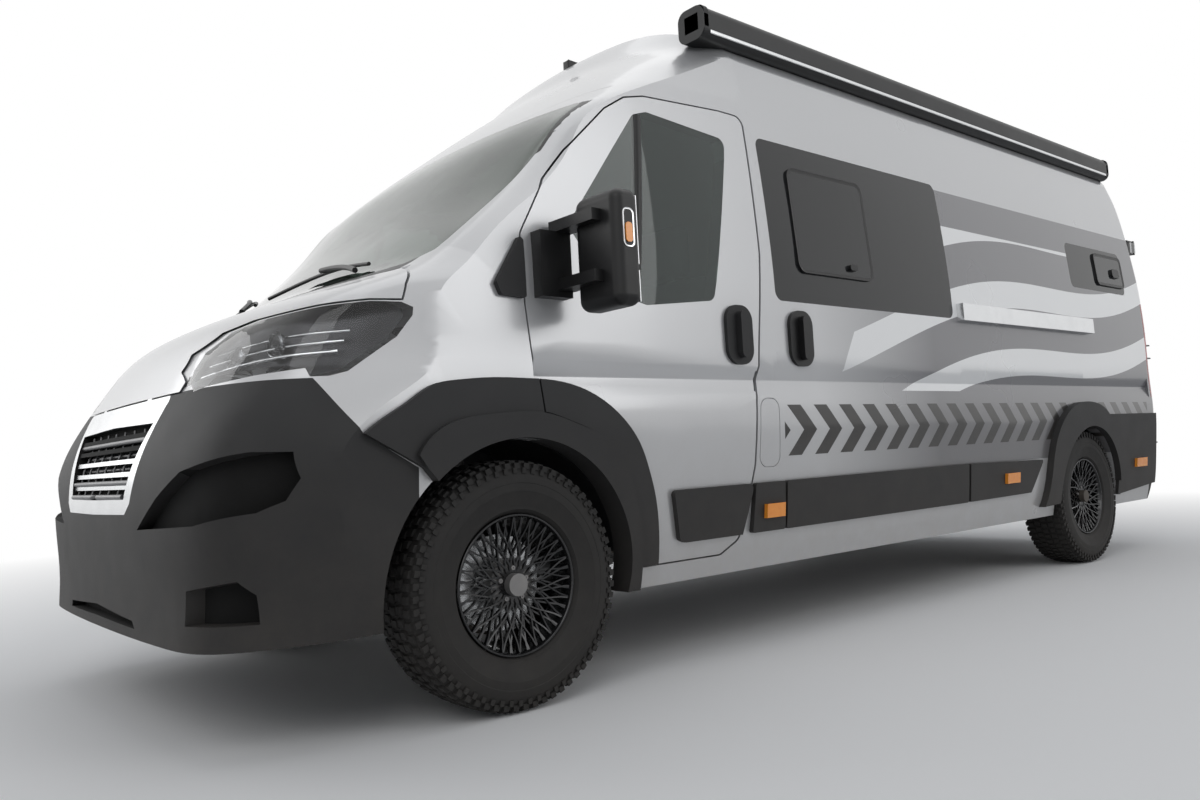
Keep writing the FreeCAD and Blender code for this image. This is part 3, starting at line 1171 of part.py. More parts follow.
def build_trim(forms):
    """Arch flares, rub strips, door trims, mirrors, markers and awning."""
    wide = HALF + OVERRUN
    flares = flare_solids(forms)
    save("arch_flares", flares + [mirrored_x(f) for f in flares])
    trim = door_trim(forms)
    save("door_trim_left", trim)
    save("door_trim_right", [mirrored_x(t) for t in trim])
    mouldings = []
    for shares in STRIP_SHARES:
        mouldings += both_sides(plate(forms, side_bar(shares, 0, wide, GRIP_ROUND / 2), "band"))
    arch = curved_bar(REAR_FLARE_SHARES, REAR_FLARE_END_SHARES, REAR_AXLE, 0, wide, PANEL_GAP)
    corner = box((0, TAIL - REAR_CORNER, 0), (wide, TAIL + OVERRUN, ROOF_HEIGHT))
    for shares in (CLADDING_SHARES, SAIL_SHARES):
        moulding = plate(forms, side_bar(shares, HALF / 2, wide, GRIP_ROUND / 2), "band")
        mouldings += both_sides(moulding.cut(arch).cut(corner))
    save("side_mouldings", mouldings)
    save("slide_rail", plate(forms, side_bar(RAIL_SHARES, 0, wide), "lip"))
    handle = handle_solid(forms)
    handle.translate(Vector(0, HANDLE_STEP_SHARE * LENGTH, 0))
    save("sliding_door_handle", handle)
    markers = []
    for shares in MARKER_SHARES:
        markers += both_sides(plate(forms, side_bar(shares, 0, wide), "lip").cut(forms["band"]))
    save("side_markers", markers)
    mirror = mirror_solid(forms)
    save("mirror_left", mirror)
    save("mirror_right", mirrored_x(mirror))
    start = (AWNING_X, NOSE + AWNING_SETBACK, AWNING_LOW)
    end = (AWNING_X + AWNING_DEPTH, start[1] + AWNING_LONG, AWNING_LOW + AWNING_TALL)
    awning = box(start, end)
    long_edges = [e for e in awning.Edges if e.BoundBox.YLength > OVERRUN]
    save("awning_case", awning.makeFillet(AWNING_DEPTH * AWNING_ROUND_SHARE, long_edges).cut(forms["outer"]))
    vent = box((-VENT_HALF, NOSE + VENT_SETBACK, ROOF_HEIGHT - SHELL_WALL / 2),
               (VENT_HALF, NOSE + VENT_SETBACK + 2 * VENT_HALF, ROOF_HEIGHT + VENT_PROUD))
    save("roof_fittings", vent.cut(forms["outer"]))


def tail_lamp_bar():
    """Bar of the left tail lamp, which runs up the rear corner."""
    heights = (TAIL_LAMP_LOW, TAIL_LAMP_HIGH)
    near = [Vector(half_width(h) - SHELL_WALL, TAIL - REAR_CORNER * 1.1, h) for h in heights]
    far = [Vector(half_width(h) + SHELL_WALL, TAIL - REAR_CORNER * 1.1, h) for h in heights]
    outline = [near[0], far[0], far[1], near[1], near[0]]
    return Part.Face(Part.makePolygon(outline)).extrude(Vector(0, OVERRUN, 0))


def build_under():
    """Engine, tank, exhaust and what carries the wheels."""
    engine_y = NOSE + ENGINE_SETBACK
    save("engine_block", box((-ENGINE_HALF, engine_y, ENGINE_LOW),
                             (ENGINE_HALF, engine_y + ENGINE_LONG, ENGINE_LOW + ENGINE_TALL)))
    under = FLOOR_TOP - FLOOR_WALL - RAIL_DEPTH
    tank_y = NOSE + TANK_SETBACK
    cross = FLOOR_TOP - FLOOR_WALL - RAIL_DEPTH / 2
    save("fuel_tank", box((-RAIL_PLACE + RAIL_WIDTH, tank_y, cross - TANK_TALL),
                          (0, tank_y + TANK_LONG, cross)))
    pipe_x, pipe_z = RAIL_PLACE / 2, under - EXHAUST_RADIUS / 2
    pipe = rod(Vector(pipe_x, engine_y + ENGINE_LONG, pipe_z),
               Vector(pipe_x, REAR_AXLE - OVERRUN, pipe_z), EXHAUST_RADIUS / 2)
    box_y = -EXHAUST_RADIUS * 8
    muffler = rod(Vector(pipe_x, box_y, pipe_z), Vector(pipe_x, -box_y, pipe_z), EXHAUST_RADIUS * 1.8)
    pieces = [pipe, muffler]
    for share in RAIL_CROSS_SHARES[:3]:
        y = NOSE + share * LENGTH
        pieces.append(box((pipe_x - EXHAUST_RADIUS / 4, y, pipe_z),
                          (pipe_x + EXHAUST_RADIUS / 4, y + RAIL_WIDTH, cross)))
    save("exhaust", one_piece(pieces))
    save("knuckle_left", knuckle_solid(1))
    save("knuckle_right", knuckle_solid(-1))
    save("front_subframe", subframe_solid())
    save("rear_axle", rear_axle_solid())
    build_wheels()


def main():
    """Build every node."""
    os.makedirs("parts", exist_ok=True)
    forms = {"outer": envelope(0.0), "inner": envelope(SHELL_WALL), "core": envelope(GLASS_WALL)}
    forms["deep"], forms["band"], forms["lip"] = envelope(POCKET_DEPTH), envelope(-BAND_PROUD), envelope(-LIP_PROUD)
    forms["grooved"] = forms["outer"].cut(both_sides(waist_groove()))
    lamps = build_front(forms)
    build_rear_doors(forms)
    build_sides(forms)
    build_trim(forms)
    tail = skin(forms, tail_lamp_bar())
    save("lamps", lamps + both_sides(tail))
    wide = HALF + OVERRUN
    bumper = skin(forms, side_bar(REAR_BUMPER_ZONE_SHARES, -wide, wide))
    tread = box((-half_width(SKIRT) + 2 * REAR_CORNER, TAIL - SHELL_WALL, REAR_BUMPER_LOW),
                (half_width(SKIRT) - 2 * REAR_CORNER, TAIL, FLOOR_TOP - 2 * FLOOR_WALL))
    save("rear_bumper", one_piece([bumper, tread]))
    save("dashboard", dashboard_solid())
    save("cab_seats", seat_solids())
    save("living_units", living_solids())
    lining = envelope(SHELL_WALL + SEAT_FIT)
    save("floor_pan", floor_solids(lining))
    save("wheelhouses", wheelhouse_solids(lining))
    save("chassis_frame", chassis_solids())
    build_under()


main()
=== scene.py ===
import json
import math
import bpy
from mathutils import Matrix, Vector


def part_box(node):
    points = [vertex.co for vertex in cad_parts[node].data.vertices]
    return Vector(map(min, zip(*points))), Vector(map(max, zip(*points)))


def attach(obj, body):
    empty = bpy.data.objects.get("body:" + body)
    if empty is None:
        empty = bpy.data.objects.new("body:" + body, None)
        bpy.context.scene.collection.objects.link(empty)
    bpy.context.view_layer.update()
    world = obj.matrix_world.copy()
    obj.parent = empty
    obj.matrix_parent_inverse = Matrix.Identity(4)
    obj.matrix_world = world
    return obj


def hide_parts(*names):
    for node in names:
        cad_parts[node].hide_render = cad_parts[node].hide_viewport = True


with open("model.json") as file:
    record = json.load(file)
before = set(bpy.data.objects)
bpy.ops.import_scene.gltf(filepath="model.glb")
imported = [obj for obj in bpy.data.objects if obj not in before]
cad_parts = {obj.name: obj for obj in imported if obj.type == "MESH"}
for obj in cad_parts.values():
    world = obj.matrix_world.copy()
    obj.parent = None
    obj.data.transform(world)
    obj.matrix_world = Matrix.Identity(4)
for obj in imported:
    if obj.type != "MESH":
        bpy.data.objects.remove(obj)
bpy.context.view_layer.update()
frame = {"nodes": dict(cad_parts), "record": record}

# Named places of the van, in metres; its nose is at y = NOSE
LENGTH = 6.05
NOSE = -LENGTH / 2
TAIL = LENGTH / 2
FRONT_AXLE = NOSE + 0.948
REAR_AXLE = FRONT_AXLE + 4.035
WHEEL_RADIUS = 0.38


def place(x, y, z):
    """Point given in millimetres, with y counted from the nose."""
    return Vector((x / 1000, NOSE + y / 1000, z / 1000))


# Shader helpers

def new_material(name):
    """Empty node material with its output and a principled shader."""
    material = bpy.data.materials.new(name)
    material.use_nodes = True
    return material, material.node_tree, material.node_tree.nodes["Principled BSDF"]


class Graph:
    """Small helper that adds and links shader nodes."""

    def __init__(self, tree):
        self.tree = tree
        self.coords = tree.nodes.new("ShaderNodeTexCoord").outputs["Object"]

    def link(self, source, target):
        self.tree.links.new(source, target)

    def math(self, operation, a, b=0.0, clamp=False):
        node = self.tree.nodes.new("ShaderNodeMath")
        node.operation = operation
        node.use_clamp = clamp
        for socket, value in zip(node.inputs, (a, b)):
            if isinstance(value, (int, float)):
                socket.default_value = value
            else:
                self.link(value, socket)
        return node.outputs[0]

    def axes(self):
        node = self.tree.nodes.new("ShaderNodeSeparateXYZ")
        self.link(self.coords, node.inputs[0])
        return node.outputs

    def noise(self, scale, detail=2.0, vector=None, rough=0.5):
        node = self.tree.nodes.new("ShaderNodeTexNoise")
        node.inputs["Scale"].default_value = scale
        node.inputs["Detail"].default_value = detail
        node.inputs["Roughness"].default_value = rough
        self.link(vector or self.coords, node.inputs["Vector"])
        return node.outputs["Fac"]

    def stretched(self, scale):
        node = self.tree.nodes.new("ShaderNodeMapping")
        node.inputs["Scale"].default_value = scale
        self.link(self.coords, node.inputs["Vector"])
        return node.outputs[0]

    def ramp(self, value, stops):
        node = self.tree.nodes.new("ShaderNodeValToRGB")
        ramp = node.color_ramp
        for stop, (at, colour) in zip([ramp.elements[0], ramp.elements[1]], (stops[0], stops[-1])):
            stop.position = at
            stop.color = (*colour, 1)
        for at, colour in stops[1:-1]:
            ramp.elements.new(at).color = (*colour, 1)
        self.link(value, node.inputs[0])
        return node.outputs[0]

    def mix(self, share, a, b):
        node = self.tree.nodes.new("ShaderNodeMix")
        node.data_type = "RGBA"
        for socket, value in ((node.inputs["Factor"], share), (node.inputs[6], a), (node.inputs[7], b)):
            if isinstance(value, (int, float)):
                socket.default_value = value
            elif isinstance(value, tuple):
                socket.default_value = (*value, 1)
            else:
                self.link(value, socket)
        return node.outputs[2]

    def bump(self, height, strength, distance):
        node = self.tree.nodes.new("ShaderNodeBump")
        node.inputs["Strength"].default_value = strength
        node.inputs["Distance"].default_value = distance
        self.link(height, node.inputs["Height"])
        return node.outputs[0]


def dust(graph, low, high, amount):
    """Share of road dust, from most at one height to none at another."""
    z = graph.axes()[2]
    fall = graph.math("DIVIDE", graph.math("SUBTRACT", high, z), high - low, clamp=True)
    spots = graph.noise(9.0, 6.0, rough=0.7)
    return graph.math("MULTIPLY", graph.math("MULTIPLY", fall, spots), amount, clamp=True)


def surface(name, colour, other, scale, metallic, rough, grain, depth, dirt=0.0, coat=0.0):
    """Material with mottled colour, uneven gloss, a fine grain and road dust low down."""
    material, tree, shader = new_material(name)
    graph = Graph(tree)
    tint = graph.mix(graph.noise(scale, 5.0), colour, other)
    if dirt:
        tint = graph.mix(dust(graph, 0.15, 0.95, dirt), tint, (0.11, 0.095, 0.08))
    graph.link(tint, shader.inputs["Base Color"])
    gloss = graph.math("ADD", rough - 0.06, graph.math("MULTIPLY", graph.noise(scale * 2.3, 4.0), 0.12))
    graph.link(gloss, shader.inputs["Roughness"])
    graph.link(graph.bump(graph.noise(grain, 3.0), depth, 0.0006), shader.inputs["Normal"])
    shader.inputs["Metallic"].default_value = metallic
    shader.inputs["Coat Weight"].default_value = coat
    if not metallic and not coat:
        shader.inputs["Specular IOR Level"].default_value = 0.32
    return material


def between(graph, value, low, high):
    """One where a value lies between two limits."""
    above = graph.math("GREATER_THAN", value, low)
    return graph.math("MULTIPLY", above, graph.math("LESS_THAN", value, high))


def ribbons(graph, along, up):
    """One on broad bands that rise towards the rear in a slow wave."""
    wave = graph.math("MULTIPLY", graph.math("SINE", graph.math("MULTIPLY", along, 1.9)), 0.09)
    slope = graph.math("MULTIPLY", along, 0.15)
    height = graph.math("SUBTRACT", graph.math("SUBTRACT", up, wave), slope)
    cell = graph.math("FRACT", graph.math("DIVIDE", graph.math("SUBTRACT", height, 0.60), 0.36))
    return graph.math("GREATER_THAN", cell, 0.60)


def chevrons(graph, along, up, pitch, low, high):
    """One on a row of arrow-shaped bars between two heights."""
    from_middle = graph.math("ABSOLUTE", graph.math("SUBTRACT", up, (low + high) / 2))
    cell = graph.math("FRACT", graph.math("DIVIDE", graph.math("ADD", along, from_middle), pitch))
    return graph.math("MULTIPLY", graph.math("LESS_THAN", cell, 0.5), between(graph, up, low, high))


def body_paint(name, wrapped):
    """Light metallic paint under clear coat, with the printed side wrap where asked."""
    material, tree, shader = new_material(name)
    graph = Graph(tree)
    flake = graph.noise(1400.0, 1.0)
    cloud = graph.noise(1.6, 3.0)
    tint = graph.mix(flake, (0.46, 0.465, 0.475), (0.58, 0.585, 0.595))
    tint = graph.mix(graph.math("MULTIPLY", cloud, 0.25), tint, (0.50, 0.50, 0.51))
    if wrapped:
        x, along, up = graph.axes()
        side = graph.math("GREATER_THAN", graph.math("ABSOLUTE", x), 0.90)
        fade = graph.math("DIVIDE", graph.math("SUBTRACT", along, -0.55), 0.9, clamp=True)
        zone = graph.math("MULTIPLY", side, between(graph, up, 0.62, 1.985))
        grey = graph.math("MULTIPLY", zone, fade)
        tint = graph.mix(grey, tint, (0.17, 0.17, 0.18))
        start = graph.math("ADD", -0.45, graph.math("MULTIPLY", graph.math("SUBTRACT", up, 0.95), 0.6))
        span = graph.math("MULTIPLY", graph.math("GREATER_THAN", along, start), between(graph, up, 0.98, 1.80))
        white = graph.math("MULTIPLY", graph.math("MULTIPLY", ribbons(graph, along, up), span), side)
        tint = graph.mix(white, tint, (0.70, 0.71, 0.72))
        black = chevrons(graph, along, up, 0.17, 0.72, 0.92)
        black = graph.math("MULTIPLY", graph.math("MULTIPLY", black, between(graph, along, -0.80, 2.85)), side)
        tint = graph.mix(black, tint, (0.012, 0.012, 0.013))
        shader.inputs["Metallic"].default_value = 0.35
    else:
        shader.inputs["Metallic"].default_value = 0.45
    tint = graph.mix(dust(graph, 0.2, 1.0, 0.5), tint, (0.33, 0.29, 0.24))
    graph.link(tint, shader.inputs["Base Color"])
    graph.link(graph.math("ADD", 0.24, graph.math("MULTIPLY", cloud, 0.10)), shader.inputs["Roughness"])
    graph.link(graph.bump(graph.noise(160.0, 2.0), 0.04, 0.0004), shader.inputs["Normal"])
    shader.inputs["Coat Weight"].default_value = 0.45
    shader.inputs["Coat Roughness"].default_value = 0.08
    return material


def glass(name, colour, clear, streak=0.03):
    """Tinted glass with faint wiping streaks."""
    material, tree, shader = new_material(name)
    graph = Graph(tree)
    film = graph.noise(6.0, 5.0, vector=graph.stretched((1.0, 1.0, 0.35)))
    graph.link(graph.mix(film, colour, tuple(c * 0.8 for c in colour)), shader.inputs["Base Color"])
    graph.link(graph.math("MULTIPLY", film, streak), shader.inputs["Roughness"])
    shader.inputs["Transmission Weight"].default_value = clear
    shader.inputs["IOR"].default_value = 1.45
    return material


PAINT = body_paint("silver_paint", False)
WRAP = body_paint("silver_paint_wrap", True)
TRIM = surface("grained_dark_plastic", (0.013, 0.0135, 0.0145), (0.022, 0.022, 0.023),
               3.0, 0.0, 0.60, 900.0, 0.5, dirt=0.45)
SATIN = surface("satin_black_plastic", (0.006, 0.006, 0.0065), (0.012, 0.012, 0.0125),
                6.0, 0.0, 0.38, 700.0, 0.3)
ALLOY = surface("black_alloy", (0.010, 0.010, 0.011), (0.022, 0.022, 0.023),
                20.0, 0.6, 0.26, 500.0, 0.12, coat=0.5)
BRIGHT = surface("bright_metal", (0.62, 0.63, 0.64), (0.74, 0.75, 0.76), 12.0, 0.9, 0.24, 500.0, 0.08)
CHASSIS = surface("chassis_paint", (0.03, 0.03, 0.03), (0.09, 0.07, 0.05),
                  8.0, 0.2, 0.65, 200.0, 0.5, dirt=0.8)
CAST = surface("cast_metal", (0.16, 0.16, 0.165), (0.26, 0.25, 0.24), 15.0, 0.7, 0.55, 120.0, 0.6)
RUBBER = surface("tyre_rubber", (0.010, 0.010, 0.0105), (0.018, 0.0175, 0.017),
                 14.0, 0.0, 0.72, 600.0, 0.45, dirt=0.2)
CLOTH = surface("seat_cloth", (0.05, 0.05, 0.055), (0.09, 0.09, 0.095), 40.0, 0.0, 0.9, 1200.0, 0.8)
CAP_WHITE = surface("white_plastic", (0.70, 0.70, 0.69), (0.78, 0.78, 0.76), 5.0, 0.0, 0.4, 500.0, 0.1)
AWNING = surface("awning_black", (0.008, 0.0085, 0.009), (0.014, 0.0145, 0.015), 4.0, 0.3, 0.42, 400.0, 0.15)
AMBER = surface("amber_lens", (0.85, 0.25, 0.02), (0.95, 0.36, 0.04), 40.0, 0.0, 0.2, 260.0, 0.4, coat=0.6)
CAB_GLASS = glass("cab_glass", (0.26, 0.33, 0.31), 0.92)
SCREEN_GLASS = glass("windscreen_glass", (0.17, 0.23, 0.19), 0.90)
DARK_GLASS = glass("tinted_glass", (0.030, 0.032, 0.034), 0.35)
LENS = glass("clear_lens", (0.93, 0.95, 0.96), 1.0, 0.01)
LINING = surface("inner_lining", (0.30, 0.30, 0.29), (0.36, 0.355, 0.34), 30.0, 0.0, 0.85, 900.0, 0.5)
# Near-black for the insides of the grille and the intakes: partly their black plastic, partly painted shade,
# darker than any real black, standing for the dark space behind the openings.
RECESS_SHADE = surface("black_with_painted_shade", (0.002, 0.002, 0.002), (0.004, 0.004, 0.004), 6.0, 0.0, 0.9, 300.0, 0.1)
SLAT = surface("grey_slat", (0.10, 0.10, 0.103), (0.16, 0.16, 0.165), 10.0, 0.6, 0.35, 300.0, 0.1)
LAMP_BACK = surface("lamp_back", (0.03, 0.03, 0.032), (0.06, 0.06, 0.065), 20.0, 0.7, 0.25, 300.0, 0.1)
CHROME = surface("chromed_reflector", (0.70, 0.71, 0.72), (0.80, 0.80, 0.81), 25.0, 0.95, 0.14, 220.0, 0.15)
TAIL_LENS = glass("red_lens", (0.65, 0.02, 0.02), 0.6, 0.02)


def wood(name):
    """Light furniture board with a straight grain."""
    material, tree, shader = new_material(name)
    graph = Graph(tree)
    grain = graph.noise(7.0, 8.0, vector=graph.stretched((9.0, 1.0, 9.0)))
    graph.link(graph.mix(grain, (0.46, 0.34, 0.21), (0.64, 0.52, 0.36)), shader.inputs["Base Color"])
    shader.inputs["Roughness"].default_value = 0.45
    return material


BOARD = wood("light_board")


# Object helpers

def select(*objects):
    """Makes these the only selected objects."""
    bpy.ops.object.select_all(action="DESELECT")
    for obj in objects:
        obj.select_set(True)
    bpy.context.view_layer.objects.active = objects[0]


def edit(obj, mode="FACE"):
    """Opens a piece in edit mode with everything selected."""
    select(obj)
    bpy.ops.object.mode_set(mode="EDIT")
    bpy.ops.mesh.select_mode(type=mode)
    bpy.ops.mesh.select_all(action="SELECT")


def close():
    """Leaves edit mode."""
    bpy.ops.object.mode_set(mode="OBJECT")


def settle(obj, name, material, body, angle=35.0):
    """Names a finished piece, smooths it and lets it ride on its body."""
    select(obj)
    bpy.ops.object.transform_apply(location=True, rotation=True, scale=True)
    bpy.ops.object.shade_smooth_by_angle(angle=math.radians(angle))
    even = obj.modifiers.new("even_shading", "WEIGHTED_NORMAL")
    even.mode = "FACE_AREA"
    even.weight = 50
    even.keep_sharp = True
    bpy.ops.object.modifier_apply(modifier=even.name)
    obj.name = name
    obj.data.materials.clear()
    obj.data.materials.append(material)
    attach(obj, body)
    return obj


def node_body(node):
    """Body that a CAD node rides on."""
    bodies = frame["record"]["behaviour"]["bodies"]
    return next(body for body, nodes in bodies.items() if node in nodes)


def dress(node, material, angle=24.0):
    """Smooth copy of a CAD node that stands for it."""
    source = frame["nodes"][node]
    piece = bpy.data.objects.new(node + "_skin", source.data.copy())
    bpy.context.collection.objects.link(piece)
    select(piece)
    bpy.ops.mesh.customdata_custom_splitnormals_clear()
    edit(piece)
    bpy.ops.mesh.remove_doubles(threshold=0.00005)
    bpy.ops.mesh.mark_sharp(clear=True)
    close()
    settle(piece, node + "_skin", material, node_body(node), angle)
    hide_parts(node)
    return piece


def block(low, high, bevel=0.0, segments=2):
    """Box between two corners, with its edges rounded."""
    middle = [(a + b) / 2 for a, b in zip(low, high)]
    bpy.ops.mesh.primitive_cube_add(size=1, location=middle)
    obj = bpy.context.active_object
    obj.scale = [abs(b - a) for a, b in zip(low, high)]
    bpy.ops.object.transform_apply(location=True, rotation=True, scale=True)
    if bevel:
        edit(obj, "EDGE")
        bpy.ops.mesh.bevel(offset=bevel, segments=segments, affect="EDGES")
        close()
    return obj


def disc(centre, radius, depth, axis="X", sides=48, bevel=0.0):
    """Short round piece whose axis lies along X, Y or Z."""
    turn = {"X": (0, math.pi / 2, 0), "Y": (math.pi / 2, 0, 0), "Z": (0, 0, 0)}[axis]
    bpy.ops.mesh.primitive_cylinder_add(vertices=sides, radius=radius, depth=depth,
                                        location=centre, rotation=turn)
    obj = bpy.context.active_object
    bpy.ops.object.transform_apply(location=True, rotation=True, scale=True)
    if bevel:
        edit(obj, "EDGE")
        bpy.ops.mesh.select_all(action="DESELECT")
        bpy.ops.mesh.edges_select_sharp(sharpness=math.radians(60))
        bpy.ops.mesh.bevel(offset=bevel, segments=3, affect="EDGES")
        close()
    return obj


def join(objects):
    """Several meshes as one."""
    select(*objects)
    bpy.ops.object.join()
    return bpy.context.active_object


def turned(centre, profile, sides=72):
    """Round piece about an axle along X, drawn ring by ring from (offset, radius) pairs."""
    offset, radius = profile[0]
    bpy.ops.object.select_all(action="DESELECT")
    bpy.ops.mesh.primitive_circle_add(vertices=sides, radius=radius, location=centre + Vector((offset, 0, 0)),
                                      rotation=(0, math.pi / 2, 0))
    obj = bpy.context.active_object
    bpy.ops.object.transform_apply(location=True, rotation=True, scale=True)
    edit(obj, "VERT")
    for (start, inner), (end, outer) in zip(profile, profile[1:]):
        bpy.ops.mesh.extrude_region_move(TRANSFORM_OT_translate={"value": (end - start, 0, 0)})
        bpy.ops.transform.resize(value=(1, outer / inner, outer / inner),
                                 center_override=centre + Vector((end, 0, 0)))
    bpy.ops.mesh.select_all(action="SELECT")
    bpy.ops.mesh.remove_doubles(threshold=0.00005)
    bpy.ops.mesh.normals_make_consistent(inside=False)
    close()
    return obj


def around(obj, centre, count):
    """Copies a piece round an axle along X, as one mesh."""
    bpy.ops.object.empty_add(location=centre, rotation=(2 * math.pi / count, 0, 0))
    pivot = bpy.context.active_object
    bpy.context.scene.cursor.location = centre
    select(obj)
    bpy.ops.object.origin_set(type="ORIGIN_CURSOR")
    array = obj.modifiers.new("round_the_axle", "ARRAY")
    array.use_relative_offset = False
    array.use_object_offset = True
    array.offset_object = pivot
    array.count = count
    bpy.ops.object.modifier_apply(modifier=array.name)
    bpy.data.objects.remove(pivot)
    return obj


SIDEWALL = [(0.086, 0.2165), (0.093, 0.222), (0.102, 0.229), (0.1035, 0.240), (0.110, 0.258), (0.1155, 0.282),
            (0.1170, 0.284), (0.1175, 0.292), (0.1165, 0.308), (0.1178, 0.310),
            (0.1160, 0.330), (0.109, 0.347),
            (0.103, 0.3585), (0.094, 0.368), (0.070, 0.3712), (0.0, 0.3720)]


def tread_block(centre, across, low, high, along, shift, lean):
    """One bevelled tread block at the top of the tyre."""
    obj = block((centre.x + across[0], centre.y + shift - along / 2, centre.z + low),
                (centre.x + across[1], centre.y + shift + along / 2, centre.z + high))
    edit(obj, "FACE")
    bpy.ops.mesh.select_all(action="DESELECT")
    close()
    for face in obj.data.polygons:
        face.select = face.normal.z > 0.9
    for vertex in obj.data.vertices:
        vertex.select = vertex.co.z > centre.z + (low + high) / 2
    bpy.ops.object.mode_set(mode="EDIT")
    bpy.ops.transform.resize(value=(0.88, 0.86, 1))
    bpy.ops.transform.translate(value=(0, lean, 0))
    close()
    return obj


def build_tyre(corner, centre, body):
    """Tyre with a stepped sidewall, five rows of tread blocks and shoulder lugs."""
    profile = [(-a, r) for a, r in SIDEWALL] + [(a, r) for a, r in SIDEWALL[-2::-1]]
    carcass = turned(centre, profile + [profile[0]], 96)
    rows = [
        ((-0.015, 0.016), 0.368, 0.3800, 0.026, 0.000, 0.003),
        ((-0.052, -0.021), 0.368, 0.3798, 0.025, 0.012, 0.004),
        ((0.022, 0.053), 0.368, 0.3798, 0.025, 0.012, -0.004),
        ((-0.088, -0.058), 0.366, 0.3775, 0.024, 0.002, 0.002),
        ((0.059, 0.089), 0.366, 0.3775, 0.024, 0.002, -0.002),
        ((-0.110, -0.091), 0.352, 0.3700, 0.021, 0.004, 0.0),
        ((0.092, 0.111), 0.352, 0.3700, 0.021, 0.004, 0.0),
        ((-0.1165, -0.106), 0.338, 0.3550, 0.015, -0.008, 0.0),
        ((0.107, 0.1170), 0.338, 0.3550, 0.015, -0.008, 0.0),
    ]
    blocks = join([tread_block(centre, *row) for row in rows])
    tread = around(blocks, centre, 64)
    tyre = join([carcass, tread])
    settle(tyre, "tyre_%s_treaded" % corner, RUBBER, body, 30.0)
    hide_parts("tyre_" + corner)


def lattice_bar(centre, out, lean, inner, outer, sweep, thick, depth):
    """One bowed bar of the wheel's lattice, extruded from the hub towards the rim."""
    steps = 7
    places = []
    for i in range(steps + 1):
        share = i / steps
        radius = inner + (outer - inner) * share
        turn = lean * sweep * math.sin(share * math.pi / 2)
        x = out * (-0.034 + 0.020 * share ** 1.5)
        places.append(centre + Vector((x, radius * math.sin(turn), radius * math.cos(turn))))
    bpy.ops.object.select_all(action="DESELECT")
    bpy.ops.mesh.primitive_plane_add(size=1, location=places[0])
    obj = bpy.context.active_object
    obj.scale = (depth, thick, 1)
    bpy.ops.object.transform_apply(location=True, rotation=True, scale=True)
    edit(obj, "FACE")
    for start, end in zip(places, places[1:]):
        bpy.ops.mesh.extrude_region_move(TRANSFORM_OT_translate={"value": end - start})
    bpy.ops.mesh.select_all(action="SELECT")
    bpy.ops.mesh.normals_make_consistent(inside=False)
    close()
    return obj


def build_rim(corner, centre, out, body):
    """Black lattice wheel: barrel, lip, bowed bars, hub, cap and five bolts."""
    face = out * (0.095 if "front" in corner else 0.095)
    hub = centre + Vector((face, 0, 0))
    flip = [(out * a, r) for a, r in (
        (-0.002, 0.2155), (0.0, 0.2135), (0.0, 0.209), (-0.004, 0.2055), (-0.016, 0.2035), (-0.028, 0.1965),
        (-0.170, 0.190), (-0.188, 0.208), (-0.189, 0.2150), (-0.182, 0.2155),
        (-0.165, 0.205), (-0.030, 0.205),
        (-0.002, 0.2155))]
    barrel = turned(hub, flip, 96)
    bars = [lattice_bar(hub, out, lean, 0.030, 0.203, 0.62, 0.0065, 0.012) for lean in (1, -1)]
    bars += [lattice_bar(hub, out, lean, 0.105, 0.203, 0.17, 0.0055, 0.010) for lean in (1, -1)]
    lattice = around(join(bars), hub, 20)
    dish = turned(hub, [(out * a, r) for a, r in (
        (-0.050, 0.004), (-0.024, 0.004), (-0.022, 0.020), (-0.020, 0.026), (-0.022, 0.030), (-0.036, 0.032),
        (-0.038, 0.064), (-0.050, 0.066), (-0.120, 0.064), (-0.120, 0.004), (-0.050, 0.004))], 48)
    wheel = join([barrel, lattice, dish])
    settle(wheel, "rim_%s_lattice" % corner, ALLOY, body, 35.0)
    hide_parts("rim_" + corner)
    bolt = turned(hub + Vector((0, 0, 0.050)), [(out * a, r) for a, r in (
        (-0.050, 0.002), (-0.024, 0.002), (-0.024, 0.0075), (-0.026, 0.0085),
        (-0.050, 0.0088), (-0.050, 0.002))], 6)
    bolts = around(bolt, hub, 5)
    settle(bolts, "wheel_bolts_%s" % corner, CAST, body, 30.0)
    disc_ring = turned(hub, [(out * a, r) for a, r in (
        (-0.110, 0.070), (-0.110, 0.150), (-0.113, 0.152), (-0.132, 0.152), (-0.135, 0.150), (-0.135, 0.070),
        (-0.110, 0.070))], 64)
    settle(disc_ring, "brake_disc_%s" % corner, BRIGHT, body, 30.0)


def build_wheel(corner):
    """Tyre, rim, bolts and brake disc of one corner."""
    out = 1 if corner.endswith("left") else -1
    front = corner.startswith("front")
    centre = Vector((out * (0.905 if front else 0.895), FRONT_AXLE if front else REAR_AXLE, WHEEL_RADIUS))
    body = "wheel_" + corner
    build_tyre(corner, centre, body)
    build_rim(corner, centre, out, body)


def repaint(piece, material, test):
    """Gives the faces that pass a test of centre and normal a further material."""
    piece.data.materials.append(material)
    last = len(piece.data.materials) - 1
    for face in piece.data.polygons:
        if test(face.center, face.normal):
            face.material_index = last


def front_of(piece, x, z):
    """Place on the front of a piece at a width and a height."""
    hit, where, _, _ = piece.ray_cast(Vector((x, NOSE - 1, z)), Vector((0, 1, 0)))
    return where if hit else None


def side_of(piece, y, z, side=1):
    """Place on the outer side of a piece at a length and a height."""
    hit, where, _, _ = piece.ray_cast(Vector((side * 3, y, z)), Vector((-side, 0, 0)))
    return where if hit else None


def top_of(piece, x, y):
    """Place on the top of a piece."""
    hit, where, _, _ = piece.ray_cast(Vector((x, y, 5)), Vector((0, 0, -1)))
    return where if hit else None


